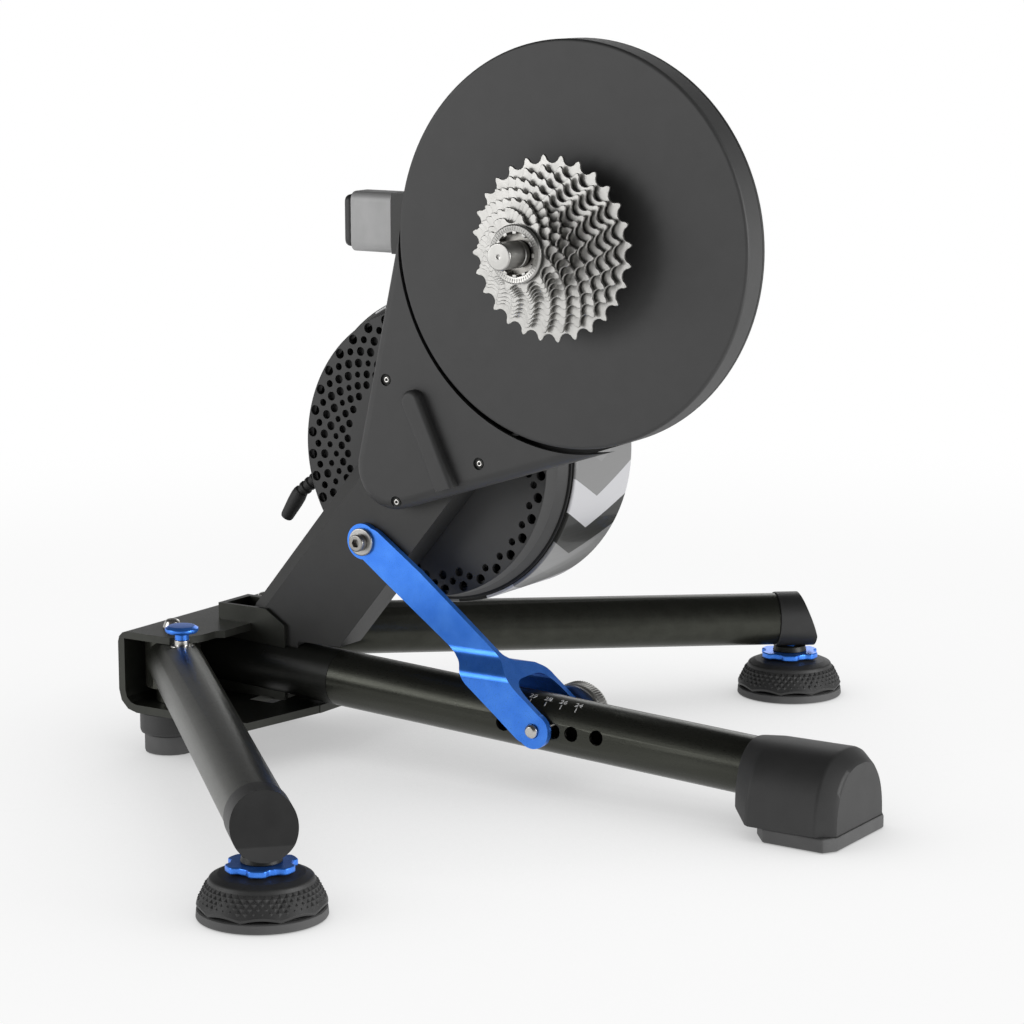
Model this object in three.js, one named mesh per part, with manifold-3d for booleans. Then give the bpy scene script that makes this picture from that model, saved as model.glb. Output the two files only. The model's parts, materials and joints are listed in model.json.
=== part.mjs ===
// Direct drive bike trainer: a folding base with three tubes, a leaning arm that carries the
// belt case and the cassette, and a flywheel with its brake on the far side.
// Millimetres. X runs forward along the bike, Y away from the drive side, Z up from the floor.
// While the pieces are made X is zero under the axle and Y on the centre plane of the base.
import * as THREE from "three";
import { mergeVertices } from "three/addons/utils/BufferGeometryUtils.js";
import Module from "manifold-3d";

const wasm = await Module();
wasm.setup();

// Clearances
const seatGap = 0.3;
const runGap = 0.6;
const boreGap = 0.4;
const weldSize = 0.001;

// Number of flat sides on turned pieces
const bootSides = 10;
const smallSides = 12;
const cornerSteps = 3;
const tubeSides = 20;
const wheelSides = 28;
const drumSides = 40;

// Axle line
const axleHeight = 362;
const driveEndY = -109;
const dropoutSpacing = 130;
const stubLength = 20;
const adapterRadius = 8.5;
const adapterEdge = 1;
const adapterSeatLength = 2.3;
const axleRadius = 7.5;
const skewerRadius = 2.6;
const farAdapterRadius = 14;
const farEndY = driveEndY + dropoutSpacing;

// Cassette
const chainPitch = 12.7;
const tipRise = 1.4;
const rootDrop = 3.9;
const cogThickness = 1.8;
const cogSpacing = 3.75;
const cassetteInnerY = -47.8;
const freehubRadius = 17.3;
const freehubBore = 8.4;
const freehubShoulder = 22;
const shoulderLength = 3;
const lockringRadius = 18.5;
const lockringBore = 13.4;
const lockringThickness = 2;
const threadRadius = 15.4;
const threadLength = 4;
const largeCarrierRadius = 26;
const midCarrierRadius = 22.5;
const spacerRadius = 19.6;
const largeTeeth = [28, 25, 23, 21];
const midTeeth = [19, 17, 15];
const singleTeeth = [14, 13, 12, 11];
const cogBore = freehubRadius + seatGap;

// Belt case: a round drum cover beside a shaped side cover, on one back plate
const drumRadius = 128.8;
const drumFaceY = -29.6;
const coverFaceY = -26;
const armNearY = -8;
const skinThickness = 2.5;
const drumEdge = 1.6;
const drumHole = 25;
const coverRadius = 131.7;
const coverCutRadius = 132.8;
const cornerX = -141.8;
const cornerZ = 207.1;
const cornerRadius = 28;
const coverBevel = 5;
const screwHeadRadius = 4;
const screwHeadHeight = 1.6;
const screwShankRadius = 1.8;
const screwRecessRadius = 5.2;
const upperScrewShare = 0.316;
const upperScrewInset = 13.6;
const lowerScrewShare = 0.391;
const lowerScrewInset = 15.3;
const cornerScrewShare = -0.012;
const cornerScrewInset = 5.5;
const bossTopShare = 0.284;
const bossTopInset = 39.6;
const bossBottomShare = 0.233;
const bossBottomInset = 10.9;
const bossWidth = 14.5;
const bossRise = 8;
const bossBevel = 3;
const plateThickness = 2.5;
const plateFarY = armNearY - seatGap;
const plateNearY = plateFarY - plateThickness;

// Belt drive
const drivePulleyRadius = 96;
const smallPulleyRadius = 12;
const pulleyWidth = 10;
const pulleyInnerY = -12.5;
const pulleyHubRadius = 21;
const beltThickness = 2.5;
const beltWidth = 9;
const beltRoom = 3;
const bearingRadius = 15;
const bearingLength = 9;
const pulleyOuterY = pulleyInnerY - pulleyWidth;

// Arm and handle
const armBaseX = -245.7;
const armBaseZ = 74.1;
const armWidth = 72.3;
const armAngle = THREE.MathUtils.degToRad(50.2);
const armDepth = 25;
const armFarY = armNearY + armDepth;
const armChamferWide = 10.6;
const armChamferDeep = 8;
const chamferShare = 0.75;
const armBossRadius = 48;
const heelHeight = 76.5;
const tongueX = -256;
const tongueZ = 62;
const tongueRadius = 24;
const armBoltRadius = 6;
const armPinInset = 4.6;
const handleBottom = 347.6;
const handleTop = 387.5;
const handleRootX = -120;
const handleStepX = -150;
const handleEndX = -183;
const handleCapX = -191;
const handleSpigot = 14;
const handleWall = 6;
const handleEdge = 5;
const capInset = 2.6;

// Flywheel and brake
const flywheelX = -143.7;
const flywheelZ = 211.5;
const brakeBossRadius = 34;
const brakeGap = 2;
const brakeFaceRadius = 97.5;
const brakeWallRadius = 98.5;
const brakeWallDepth = 12;
const brakeRimRadius = 101.5;
const brakeDepth = 20;
const brakeRimWidth = 1.5;
const sealWidth = 1.7;
const sealRadius = 103.5;
const brakeSkin = 3;
const brakeBore = 14;
const brakeNearY = armFarY + brakeGap;
const brakeWallY = brakeNearY + brakeWallDepth;
const brakeBevelY = brakeNearY + brakeDepth;
const brakeRimY = brakeBevelY + brakeRimWidth;
const brakeFarY = brakeRimY + sealWidth;
const coreRadius = 88;
const coreBore = 16;
const coreLength = 73.5;
const flywheelRadius = 106;
const flywheelWidth = 72;
const flywheelRim = 12;
const flywheelWeb = 12;
const flywheelEdge = 2;
const shaftRadius = 9;
const shaftNose = 6;
const shaftThin = 6;
const flywheelNearY = brakeFarY + seatGap;

// Power lead boot
const bootStartX = -234.4;
const bootStartZ = 192.6;
const bootBendX = -258.8;
const bootBendZ = 172.3;
const bootEndX = -271.8;
const bootEndZ = 152.9;
const bootNeckRadius = 3.6;
const bootRibRadius = 5;
const bootGripRadius = 5.6;
const bootRibs = 4;
const bootInset = 15;
const bootY = brakeNearY + bootInset;

// Base tubes
const tubeRadius = 19.15;
const tubeWall = 2.6;
const centreSlope = 0.052;
const centreHeight = 42.9;
const seamX = -200.5;
const tubeEndX = 172;

// Hub channel
const hubHalfWidth = 78;
const webX = -333.5;
const hubTop = 85.4;
const hubBottom = 29;
const hubTopWall = 5;
const hubWall = 5.5;
const topCorner = 8;
const bottomCorner = 15;
const topFrontX = -270;
const topFrontY = 40;
const topNotchX = -275;
const topNotchY = 44;
const bottomFrontX = -211;
const bottomCornerX = -223;
const bottomFlatY = 8;
const mouthRearX = -298;
const mouthBendX = -257;
const mouthFrontX = -241;
const mouthTop = 97;
const mouthFrontTop = 87;
const mouthNearWall = 3;
const mouthFarWall = 5;
const mouthRearWall = 5;
const drainRearX = -263;
const drainFrontX = -243;
const drainNearY = -23;
const drainFarY = 4;

// Folding legs, the same on each side
const legPivotX = -306;
const pivotInset = 25.5;
const legPivotY = hubHalfWidth - pivotInset;
const legPivotHeight = 65;
const legStudHeight = 56;
const legLength = 389.3;
const legAngle = THREE.MathUtils.degToRad(43.7);
const legClearRadius = 31.2;
const legFlatEnd = 47;
const legPlugLength = 52;
const sleeveRadius = 12;
const legBoltRadius = 6;
const legBoltHeadRadius = 6.5;
const legBoltHeadHeight = 3.2;
const legBoltHex = 3;
const capSeam = 12;
const capReach = 11.8;
const capRadius = 20;
const capTilt = THREE.MathUtils.degToRad(14.6);
const capSpigot = 18;
const capBulge = 2;

// Leg lock
const lockReach = 38.6;
const lockSide = 1.5;
const lockPinRadius = 3;
const lockPinBottom = 58;
const lockCollarRadius = 5.25;
const lockCollarHeight = 5;
const lockKnobRadius = 11.5;
const lockKnobBottom = 88.5;
const lockKnobHeight = 7;
const lockKnobEdge = 2.2;
const lockSeatRadius = 8;
const lockSeatHeight = 1.4;

// Adjustable feet
const padRadius = 38.5;
const padHeight = 5.5;
const padEdge = 1.5;
const domeGripHeight = 8.5;
const domeRadius = 38;
const domeTop = 27.6;
const starRadius = 20;
const starHeight = 4.2;
const starLobes = 6;
const starValleyShare = 0.72;
const starCollarRadius = 10;
const studRadius = 5;
const studTop = 60;
const domeShares = [
  [0.94, 0.22],
  [1, 0.31],
  [0.84, 0.7],
  [0.8, 0.85],
  [0.34, 1],
];

// Rear feet
const rearFootX = -306.6;
const rearFootY = 56;
const rearFootRadius = 21;
const rearPadRadius = 18;
const rearPadHeight = 13;
const rearScrewRadius = 5;

// Centre foot
const centreFrontX = 196.5;
const centreRearX = 123;
const centreWidth = 81.2;
const centreTop = 57;
const centrePadHeight = 9.4;
const centrePadRearX = 137;
const footFlankShares = [
  [0.5, 0],
  [0.5, 0.34],
  [0.42, 0.5],
  [0.33, 0.74],
  [0.18, 0.95],
  [0.08, 1],
];
const footPlanShares = [
  [0, 0.29],
  [0.08, 0.31],
  [0.34, 0.48],
  [0.92, 0.5],
  [1, 0.39],
];
const footSideShares = [
  [0, 0.38],
  [0.05, 0.92],
  [0.16, 1],
  [0.84, 1],
  [0.93, 0.66],
  [1, 0.156],
  [0.25, 0.156],
];

// Strut and lock pin
const eyeX = -172.2;
const eyeZ = 153.3;
const eyeRadius = 12;
const strutNearY = -14;
const strutThickness = 4.6;
const strutBoltRadius = 4;
const strutBoltHeadRadius = 6.5;
const strutBoltHeadHeight = 5;
const strutWasherRadius = 9.5;
const strutWasherHeight = 2.2;
const forkNearY = -25;
const forkThickness = 4.5;
const bendTopZ = 88;
const bendBottomZ = 76;
const farBendZ = 74;
const bridgeNearZ = 84;
const bridgeFarZ = 79.5;
const bridgeUnderZ = 74;
const bridgeThickness = 5;
const pinX = -30;
const pinZ = 44;
const pinBossRadius = 12;
const pinRadius = 4.7;
const pinNose = 3;
const pinEdge = 0.8;
const knobRadius = 21;
const knobNeckRadius = 8;
const knobNeckHeight = 2.6;
const knobHeight = 12;
const knobSpigot = 7;
const holeOffsets = [-27, 0, 12.5, 26, 45];
const strutSpread = 142.2;
const strutOutlineShares = [
  [-0.065, 0.07],
  [-0.009, -0.075],
  [0.118, -0.172],
  [0.501, -0.449],
  [0.576, -0.503],
  [0.621, -0.585],
  [0.801, -0.726],
  [0.93, -0.83],
  [1.02, -0.84],
  [1.082, -0.775],
  [1.057, -0.71],
  [0.902, -0.587],
  [0.797, -0.481],
  [0.331, -0.115],
  [0.1, 0.044],
  [0.02, 0.083],
];

// Shape helpers: each gives one closed body
function bodyOf(geometry) {
  const flat = geometry.index ? geometry.toNonIndexed() : geometry;
  flat.deleteAttribute("normal");
  flat.deleteAttribute("uv");
  const merged = mergeVertices(flat, weldSize);
  const index = merged.index.array;
  const kept = [];
  for (let i = 0; i < index.length; i += 3) {
    const [a, b, c] = [index[i], index[i + 1], index[i + 2]];
    if (a !== b && b !== c && c !== a) kept.push(a, b, c);
  }
  const vertProperties = merged.attributes.position.array;
  const triVerts = new Uint32Array(kept);
  return new wasm.Manifold(new wasm.Mesh({ numProp: 3, vertProperties, triVerts }));
}

function geometryOf(body) {
  const mesh = body.getMesh();
  const geometry = new THREE.BufferGeometry();
  geometry.setAttribute("position", new THREE.BufferAttribute(mesh.vertProperties, 3));
  geometry.setIndex(new THREE.BufferAttribute(mesh.triVerts, 1));
  return geometry;
}

function joined(first, ...others) {
  return others.reduce((whole, next) => whole.add(next), first);
}

function cutBy(first, ...others) {
  return others.reduce((whole, next) => whole.subtract(next), first);
}

function outlineGeometry(points, depth, bevel = 0) {
  const shape = new THREE.Shape(points.map(([u, v]) => new THREE.Vector2(u, v)));
  const options = { depth: depth - bevel * 2, bevelEnabled: bevel > 0 };
  options.bevelSize = bevel;
  options.bevelOffset = -bevel;
  options.bevelThickness = bevel;
  options.bevelSegments = 1;
  const geometry = new THREE.ExtrudeGeometry(shape, options);
  return geometry.translate(0, 0, bevel);
}

// Outline in X and Z, thickness along Y
function slab(points, nearY, farY, bevel = 0) {
  const geometry = outlineGeometry(points, farY - nearY, bevel);
  return bodyOf(geometry.rotateX(Math.PI / 2).translate(0, farY, 0));
}

// Outline in X and Y, thickness along Z
function plate(points, bottom, top) {
  return bodyOf(outlineGeometry(points, top - bottom).translate(0, 0, bottom));
}

// Outline in Y and Z, length along X
function beam(points, rearX, frontX) {
  const turn = new THREE.Matrix4().makeBasis(
    new THREE.Vector3(0, 1, 0),
    new THREE.Vector3(0, 0, 1),
    new THREE.Vector3(1, 0, 0),
  );
  const geometry = outlineGeometry(points, frontX - rearX);
  return bodyOf(geometry.applyMatrix4(turn).translate(rearX, 0, 0));
}

function block(rearX, frontX, nearY, farY, bottom, top) {
  const geometry = new THREE.BoxGeometry(frontX - rearX, farY - nearY, top - bottom);
  return bodyOf(
    geometry.translate((rearX + frontX) / 2, (nearY + farY) / 2, (bottom + top) / 2),
  );
}

function latheGeometry(profile, sides) {
  let area = 0;
  profile.forEach(([r, h], i) => {
    const [nextR, nextH] = profile[(i + 1) % profile.length];
    area += r * nextH - nextR * h;
  });
  const ordered = area > 0 ? profile : [...profile].reverse();
  const points = [...ordered, ordered[0]].map(([r, h]) => new THREE.Vector2(r, h));
  return new THREE.LatheGeometry(points, sides);
}

// Turned about a line along Y
function turned(profile, x, z, sides) {
  return bodyOf(latheGeometry(profile, sides).translate(x, 0, z));
}

// Turned about an upright line
function upright(profile, x, y, sides) {
  return bodyOf(latheGeometry(profile, sides).rotateX(Math.PI / 2).translate(x, y, 0));
}

function rod(radius, nearY, farY, x, z, sides) {
  const profile = [
    [0, nearY],
    [radius, nearY],
    [radius, farY],
    [0, farY],
  ];
  return turned(profile, x, z, sides);
}

function ring(outer, inner, nearY, farY, x, z, sides) {
  const profile = [
    [inner, nearY],
    [outer, nearY],
    [outer, farY],
    [inner, farY],
  ];
  return turned(profile, x, z, sides);
}

function post(radius, bottom, top, x, y, sides) {
  const profile = [
    [0, bottom],
    [radius, bottom],
    [radius, top],
    [0, top],
  ];
  return upright(profile, x, y, sides);
}

// A round bar along X that drops by slope for each unit forward, at height where X is zero
function slopedBar(radius, rearX, frontX, height, slope, sides) {
  const angle = Math.atan(slope);
  const stretch = 1 / Math.cos(angle);
  const geometry = new THREE.CylinderGeometry(
    radius,
    radius,
    (frontX - rearX) * stretch,
    sides,
  );
  geometry.rotateZ(-Math.PI / 2).rotateY(angle);
  const middle = (rearX + frontX) / 2;
  return bodyOf(geometry.translate(middle, 0, height - slope * middle));
}

function arcPoints(x, z, radius, startAngle, endAngle, steps) {
  const points = [];
  for (let i = 0; i <= steps; i += 1) {
    const angle = startAngle + ((endAngle - startAngle) * i) / steps;
    points.push([x + radius * Math.cos(angle), z + radius * Math.sin(angle)]);
  }
  return points;
}

// The outline of a large circle and a small one joined by their outer tangents
function caseOutline(largeRadius, smallRadius, smallX, smallZ, steps) {
  const reach = Math.hypot(smallX, smallZ - axleHeight);
  const heading = Math.atan2(smallZ - axleHeight, smallX);
  const spread = Math.acos((largeRadius - smallRadius) / reach);
  const turn = Math.PI * 2;
  return [
    ...arcPoints(smallX, smallZ, smallRadius, heading - spread, heading + spread, steps / 4),
    ...arcPoints(0, axleHeight, largeRadius, heading + spread, heading - spread + turn, steps),
  ];
}

// A point inside the cover's straight edge, a share of the way from its corner to the drum
function besideEdge(side, share, inset) {
  const reach = Math.hypot(cornerX, cornerZ - axleHeight);
  const heading = Math.atan2(cornerZ - axleHeight, cornerX);
  const turn = heading + side * Math.acos((coverRadius - cornerRadius) / reach);
  const out = cornerRadius + (coverRadius - cornerRadius) * share - inset;
  return [
    cornerX * (1 - share) + Math.cos(turn) * out,
    cornerZ + (axleHeight - cornerZ) * share + Math.sin(turn) * out,
  ];
}

// The pieces
const trainer = new THREE.Group();
trainer.name = "direct_drive_trainer";

function place(parent, name, body, colour, metalness, roughness) {
  const geometry = geometryOf(body).toNonIndexed();
  geometry.computeVertexNormals();
  const material = new THREE.MeshStandardMaterial({ color: colour, metalness, roughness });
  const mesh = new THREE.Mesh(geometry, material);
  mesh.name = name;
  parent.add(mesh);
}

const anodised = [0x2b2c27, 0.7, 0.4];
const casting = [0x2c2c2a, 0.4, 0.5];
const blue = [0x2f6fe0, 0.7, 0.35];
const plastic = [0x3a3a3a, 0, 0.6];
const greyPlastic = [0x7d7d7d, 0, 0.6];
const rubber = [0x232323, 0, 0.8];
const steel = [0xb9b9b6, 1, 0.3];
const silver = [0xcfcfcc, 1, 0.25];
const drumGrey = [0x4a4a4a, 0.2, 0.5];

// Axle: a shaft held in the arm, with a screwed end at each side
const lockringFarY = driveEndY + stubLength;
const adapterFarY = lockringFarY + adapterSeatLength;
const adapter = cutBy(
  turned(
    [
      [0, driveEndY],
      [adapterRadius - adapterEdge, driveEndY],
      [adapterRadius, driveEndY + adapterEdge],
      [adapterRadius, adapterFarY],
      [0, adapterFarY],
    ],
    0,
    axleHeight,
    tubeSides,
  ),
  rod(skewerRadius, driveEndY - adapterEdge, adapterFarY + adapterEdge, 0, axleHeight, smallSides),
);
place(trainer, "drive_adapter", adapter, ...silver);

const shaft = ring(
  axleRadius,
  skewerRadius,
  adapterFarY + seatGap,
  armFarY,
  0,
  axleHeight,
  tubeSides,
);
place(trainer, "axle_shaft", shaft, ...steel);

const farAdapter = ring(
  farAdapterRadius,
  skewerRadius,
  armFarY + seatGap,
  farEndY,
  0,
  axleHeight,
  tubeSides,
);
place(trainer, "far_adapter", farAdapter, ...silver);

const bearingFarY = pulleyInnerY;
const bearing = ring(
  bearingRadius,
  axleRadius + seatGap,
  bearingFarY - bearingLength,
  bearingFarY,
  0,
  axleHeight,
  tubeSides,
);
place(trainer, "axle_bearing", bearing, ...steel);

// Cassette: eleven cogs on the freehub body, held by the lockring
function cogOutline(teeth) {
  const pitchRadius = chainPitch / (2 * Math.sin(Math.PI / teeth));
  const tip = pitchRadius + tipRise;
  const root = pitchRadius - rootDrop;
  const step = (Math.PI * 2) / teeth;
  const toothShares = [
    [0, 0],
    [0.5, 1],
  ];
  const points = [];
  for (let i = 0; i < teeth; i += 1) {
    for (const [turnShare, riseShare] of toothShares) {
      const angle = (i + turnShare) * step;
      const radius = root + (tip - root) * riseShare;
      points.push([radius * Math.cos(angle), axleHeight + radius * Math.sin(angle)]);
    }
  }
  return points;
}

function cogInner(index) {
  return cassetteInnerY - index * cogSpacing;
}

function cogStack(teethList, firstIndex, carrierRadius) {
  const lastIndex = firstIndex + teethList.length;
  const outer = cogInner(lastIndex) + seatGap;
  const bodies = teethList.map((teeth, i) => {
    const inner = cogInner(firstIndex + i);
    return slab(cogOutline(teeth), inner - cogThickness, inner);
  });
  const carrier = rod(carrierRadius, outer, cogInner(firstIndex), 0, axleHeight, tubeSides);
  const boreFarY = cassetteInnerY + cogSpacing;
  const bore = rod(cogBore, outer - cogSpacing, boreFarY, 0, axleHeight, tubeSides);
  return cutBy(joined(carrier, ...bodies), bore);
}

place(trainer, "cog_cluster_large", cogStack(largeTeeth, 0, largeCarrierRadius), ...silver);
const midStart = largeTeeth.length;
place(trainer, "cog_cluster_mid", cogStack(midTeeth, midStart, midCarrierRadius), ...silver);
const singleStart = midStart + midTeeth.length;
singleTeeth.forEach((teeth, i) => {
  const name = "cog_" + teeth;
  place(trainer, name, cogStack([teeth], singleStart + i, spacerRadius), ...silver);
});

const cogCount = singleStart + singleTeeth.length;
const cassetteOuterY = cogInner(cogCount) + seatGap;
const freehubOuterY = cassetteOuterY;
const freehubInnerY = cassetteInnerY + seatGap + shoulderLength;
const freehub = turned(
  [
    [freehubBore, freehubInnerY],
    [freehubShoulder, freehubInnerY],
    [freehubShoulder, cassetteInnerY + seatGap],
    [freehubRadius, cassetteInnerY + seatGap],
    [freehubRadius, freehubOuterY],
    [threadRadius + seatGap, freehubOuterY],
    [threadRadius + seatGap, freehubOuterY + threadLength + seatGap],
    [freehubBore, freehubOuterY + threadLength + seatGap],
  ],
  0,
  axleHeight,
  tubeSides,
);
place(trainer, "freehub", freehub, ...steel);

const lockring = turned(
  [
    [lockringBore, cassetteOuterY - seatGap - lockringThickness],
    [lockringRadius, cassetteOuterY - seatGap - lockringThickness],
    [lockringRadius, cassetteOuterY - seatGap],
    [threadRadius, cassetteOuterY - seatGap],
    [threadRadius, cassetteOuterY + threadLength],
    [lockringBore, cassetteOuterY + threadLength],
  ],
  0,
  axleHeight,
  tubeSides,
);
place(trainer, "lockring", lockring, ...silver);

// Belt drive: a large pulley on the axle, a small one on the flywheel shaft
const hubNearY = freehubInnerY + runGap;
const bearingRoom = bearingRadius + runGap;
const drivePulley = turned(
  [
    [freehubBore, hubNearY],
    [pulleyHubRadius, hubNearY],
    [pulleyHubRadius, pulleyOuterY],
    [drivePulleyRadius, pulleyOuterY],
    [drivePulleyRadius, pulleyInnerY],
    [bearingRoom, pulleyInnerY],
    [bearingRoom, bearingFarY - bearingLength - runGap],
    [freehubBore, bearingFarY - bearingLength - runGap],
  ],
  0,
  axleHeight,
  wheelSides,
);
place(trainer, "drive_pulley", drivePulley, ...steel);

const smallPulley = ring(
  smallPulleyRadius,
  shaftThin + seatGap,
  pulleyOuterY,
  pulleyInnerY,
  flywheelX,
  flywheelZ,
  tubeSides,
);
place(trainer, "small_pulley", smallPulley, ...steel);

const beltMiddle = (pulleyOuterY + pulleyInnerY) / 2;
const beltNearY = beltMiddle - beltWidth / 2;
const beltFarY = beltMiddle + beltWidth / 2;
const beltInner = caseOutline(
  drivePulleyRadius + runGap,
  smallPulleyRadius + runGap,
  flywheelX,
  flywheelZ,
  drumSides,
);
const beltOuter = caseOutline(
  drivePulleyRadius + runGap + beltThickness,
  smallPulleyRadius + runGap + beltThickness,
  flywheelX,
  flywheelZ,
  drumSides,
);
const belt = cutBy(
  slab(beltOuter, beltNearY, beltFarY),
  slab(beltInner, beltNearY - beltWidth, beltFarY + beltWidth),
);
place(trainer, "belt", belt, ...rubber);

// Belt case
const beltRoomOutline = caseOutline(
  drivePulleyRadius + beltThickness + beltRoom,
  smallPulleyRadius + beltThickness + beltRoom,
  flywheelX,
  flywheelZ,
  drumSides,
);
const caseNearY = plateNearY - seatGap;
const drumInner = drumRadius - skinThickness;
const drumCup = turned(
  [
    [drumHole, drumFaceY],
    [drumRadius - drumEdge, drumFaceY],
    [drumRadius, drumFaceY + drumEdge],
    [drumRadius, caseNearY],
    [drumInner, caseNearY],
    [drumInner, drumFaceY + skinThickness],
    [drumHole, drumFaceY + skinThickness],
  ],
  0,
  axleHeight,
  drumSides,
);
const beltPassage = slab(beltRoomOutline, drumFaceY + skinThickness + seatGap, armNearY);
const drumCover = cutBy(drumCup, beltPassage);
place(trainer, "drum_cover", drumCover, ...drumGrey);

const coverOutline = caseOutline(coverRadius, cornerRadius, cornerX, cornerZ, drumSides);
const coverHollow = caseOutline(
  coverRadius - skinThickness,
  cornerRadius - skinThickness,
  cornerX,
  cornerZ,
  drumSides,
);
const screwPlaces = [
  besideEdge(-1, upperScrewShare, upperScrewInset),
  besideEdge(1, lowerScrewShare, lowerScrewInset),
  besideEdge(1, cornerScrewShare, cornerScrewInset),
];
const [bossTopX, bossTopZ] = besideEdge(-1, bossTopShare, bossTopInset);
const [bossBottomX, bossBottomZ] = besideEdge(1, bossBottomShare, bossBottomInset);
const bossLean = Math.atan2(bossTopX - bossBottomX, bossTopZ - bossBottomZ);
const bossReach = bossWidth / 2;
const bossOutline = [
  ...arcPoints(bossTopX, bossTopZ, bossReach, -bossLean, Math.PI - bossLean, smallSides / 2),
  ...arcPoints(
    bossBottomX,
    bossBottomZ,
    bossReach,
    Math.PI - bossLean,
    Math.PI * 2 - bossLean,
    smallSides / 2,
  ),
];
const coverBoss = slab(
  bossOutline,
  coverFaceY - bossRise,
  coverFaceY + skinThickness + bossBevel,
  bossBevel,
);
const coverShell = cutBy(
  slab(coverOutline, coverFaceY, caseNearY + coverBevel, coverBevel),
  slab(coverHollow, coverFaceY + skinThickness + coverBevel / 2, armNearY),
  slab(
    caseOutline(
      coverRadius - coverBevel - skinThickness,
      cornerRadius - coverBevel - skinThickness,
      cornerX,
      cornerZ,
      drumSides,
    ),
    coverFaceY + skinThickness,
    armNearY,
  ),
  block(-axleHeight, axleHeight, caseNearY, armFarY, 0, axleHeight + axleHeight),
);
const screwSeatY = coverFaceY + screwHeadHeight / 2;
const screwHoles = screwPlaces.flatMap(([x, z]) => [
  rod(screwRecessRadius, coverFaceY - bossRise, screwSeatY, x, z, smallSides),
  rod(screwShankRadius + boreGap, coverFaceY, armNearY, x, z, smallSides),
]);
const bossTrim = block(
  -axleHeight,
  axleHeight,
  coverFaceY + skinThickness,
  armNearY,
  bossBottomZ - bossWidth,
  bossTopZ + bossWidth,
).intersect(coverBoss);
const sideCover = cutBy(
  joined(coverShell, cutBy(coverBoss, bossTrim)),
  rod(coverCutRadius, coverFaceY - bossRise, armFarY, 0, axleHeight, drumSides),
  ...screwHoles,
);
place(trainer, "side_cover", sideCover, ...drumGrey);

const plateOutline = caseOutline(drumRadius, cornerRadius, cornerX, cornerZ, drumSides);
const backPlate = cutBy(
  slab(plateOutline, plateNearY, plateFarY),
  rod(axleRadius + boreGap, plateNearY - seatGap, armNearY, 0, axleHeight, tubeSides),
  rod(shaftRadius + runGap, plateNearY - seatGap, armNearY, flywheelX, flywheelZ, tubeSides),
  ...screwPlaces.map(([x, z]) =>
    rod(screwShankRadius + boreGap, plateNearY - seatGap, armNearY, x, z, smallSides),
  ),
);
place(trainer, "belt_case", backPlate, ...casting);

const screwNames = ["cover_screw_upper", "cover_screw_lower", "cover_screw_corner"];
screwPlaces.forEach(([x, z], i) => {
  const seatY = screwSeatY - seatGap;
  const screw = turned(
    [
      [0, seatY - screwHeadHeight],
      [screwHeadRadius, seatY - screwHeadHeight],
      [screwHeadRadius, seatY],
      [screwShankRadius, seatY],
      [screwShankRadius, plateFarY],
      [0, plateFarY],
    ],
    x,
    z,
    smallSides,
  );
  place(trainer, screwNames[i], screw, ...steel);
});

// Arm: a flat bar leaning forward, with an axle boss, a brake boss and the handle branch
const armUp = [Math.cos(armAngle), Math.sin(armAngle)];
const armOut = [Math.sin(armAngle), -Math.cos(armAngle)];
function armPoint(along, across) {
  return [
    armBaseX + armUp[0] * along + armOut[0] * across,
    armBaseZ + armUp[1] * along + armOut[1] * across,
  ];
}
const halfArm = armWidth / 2;
const armReach = (axleHeight - armBaseZ) / armUp[1];
const heelAlong = (heelHeight - armBaseZ + armOut[1] * -halfArm) / armUp[1];
const armOutline = [
  armPoint(0, -halfArm),
  [tongueX - tongueRadius, tongueZ],
  [tongueX + tongueRadius, tongueZ],
  [tongueX + tongueRadius, heelHeight],
  armPoint(heelAlong, halfArm),
  armPoint(armReach, halfArm),
  armPoint(armReach, -halfArm),
];
function armEdgeCut() {
  const outline = [
    [0, 0],
    [armChamferWide, 0],
    [0, armChamferDeep],
  ];
  const geometry = outlineGeometry(outline, armReach * chamferShare + armWidth);
  const turn = new THREE.Matrix4().makeBasis(
    new THREE.Vector3(armOut[0], 0, armOut[1]),
    new THREE.Vector3(0, 1, 0),
    new THREE.Vector3(armUp[0], 0, armUp[1]),
  );
  const [x, z] = armPoint(-armWidth, -halfArm);
  geometry.applyMatrix4(turn);
  return bodyOf(geometry.translate(x, armNearY, z));
}
const handleHole = block(
  handleStepX - handleEdge,
  handleRootX,
  armNearY + handleWall - seatGap,
  armFarY - handleWall + seatGap,
  handleBottom + handleWall - seatGap,
  handleTop - handleWall + seatGap,
);
const armBody = cutBy(
  joined(
    slab(armOutline, armNearY, armFarY),
    rod(tongueRadius, armNearY, armFarY, tongueX, tongueZ, tubeSides),
    rod(armBossRadius, armNearY, armFarY, 0, axleHeight, wheelSides),
    rod(brakeBossRadius, armNearY, brakeNearY - seatGap, flywheelX, flywheelZ, tubeSides),
    block(handleStepX, 0, armNearY, armFarY, handleBottom, handleTop),
  ),
  armEdgeCut(),
  rod(axleRadius + boreGap, armNearY - runGap, armFarY + runGap, 0, axleHeight, tubeSides),
  rod(shaftRadius + runGap, armNearY - runGap, brakeNearY, flywheelX, flywheelZ, tubeSides),
  rod(armBoltRadius + boreGap, armNearY - runGap, armFarY + runGap, tongueX, tongueZ, smallSides),
  rod(strutBoltRadius + boreGap, armNearY - runGap, armFarY + runGap, eyeX, eyeZ, smallSides),
  handleHole,
);
place(trainer, "main_arm", armBody, ...casting);

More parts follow.
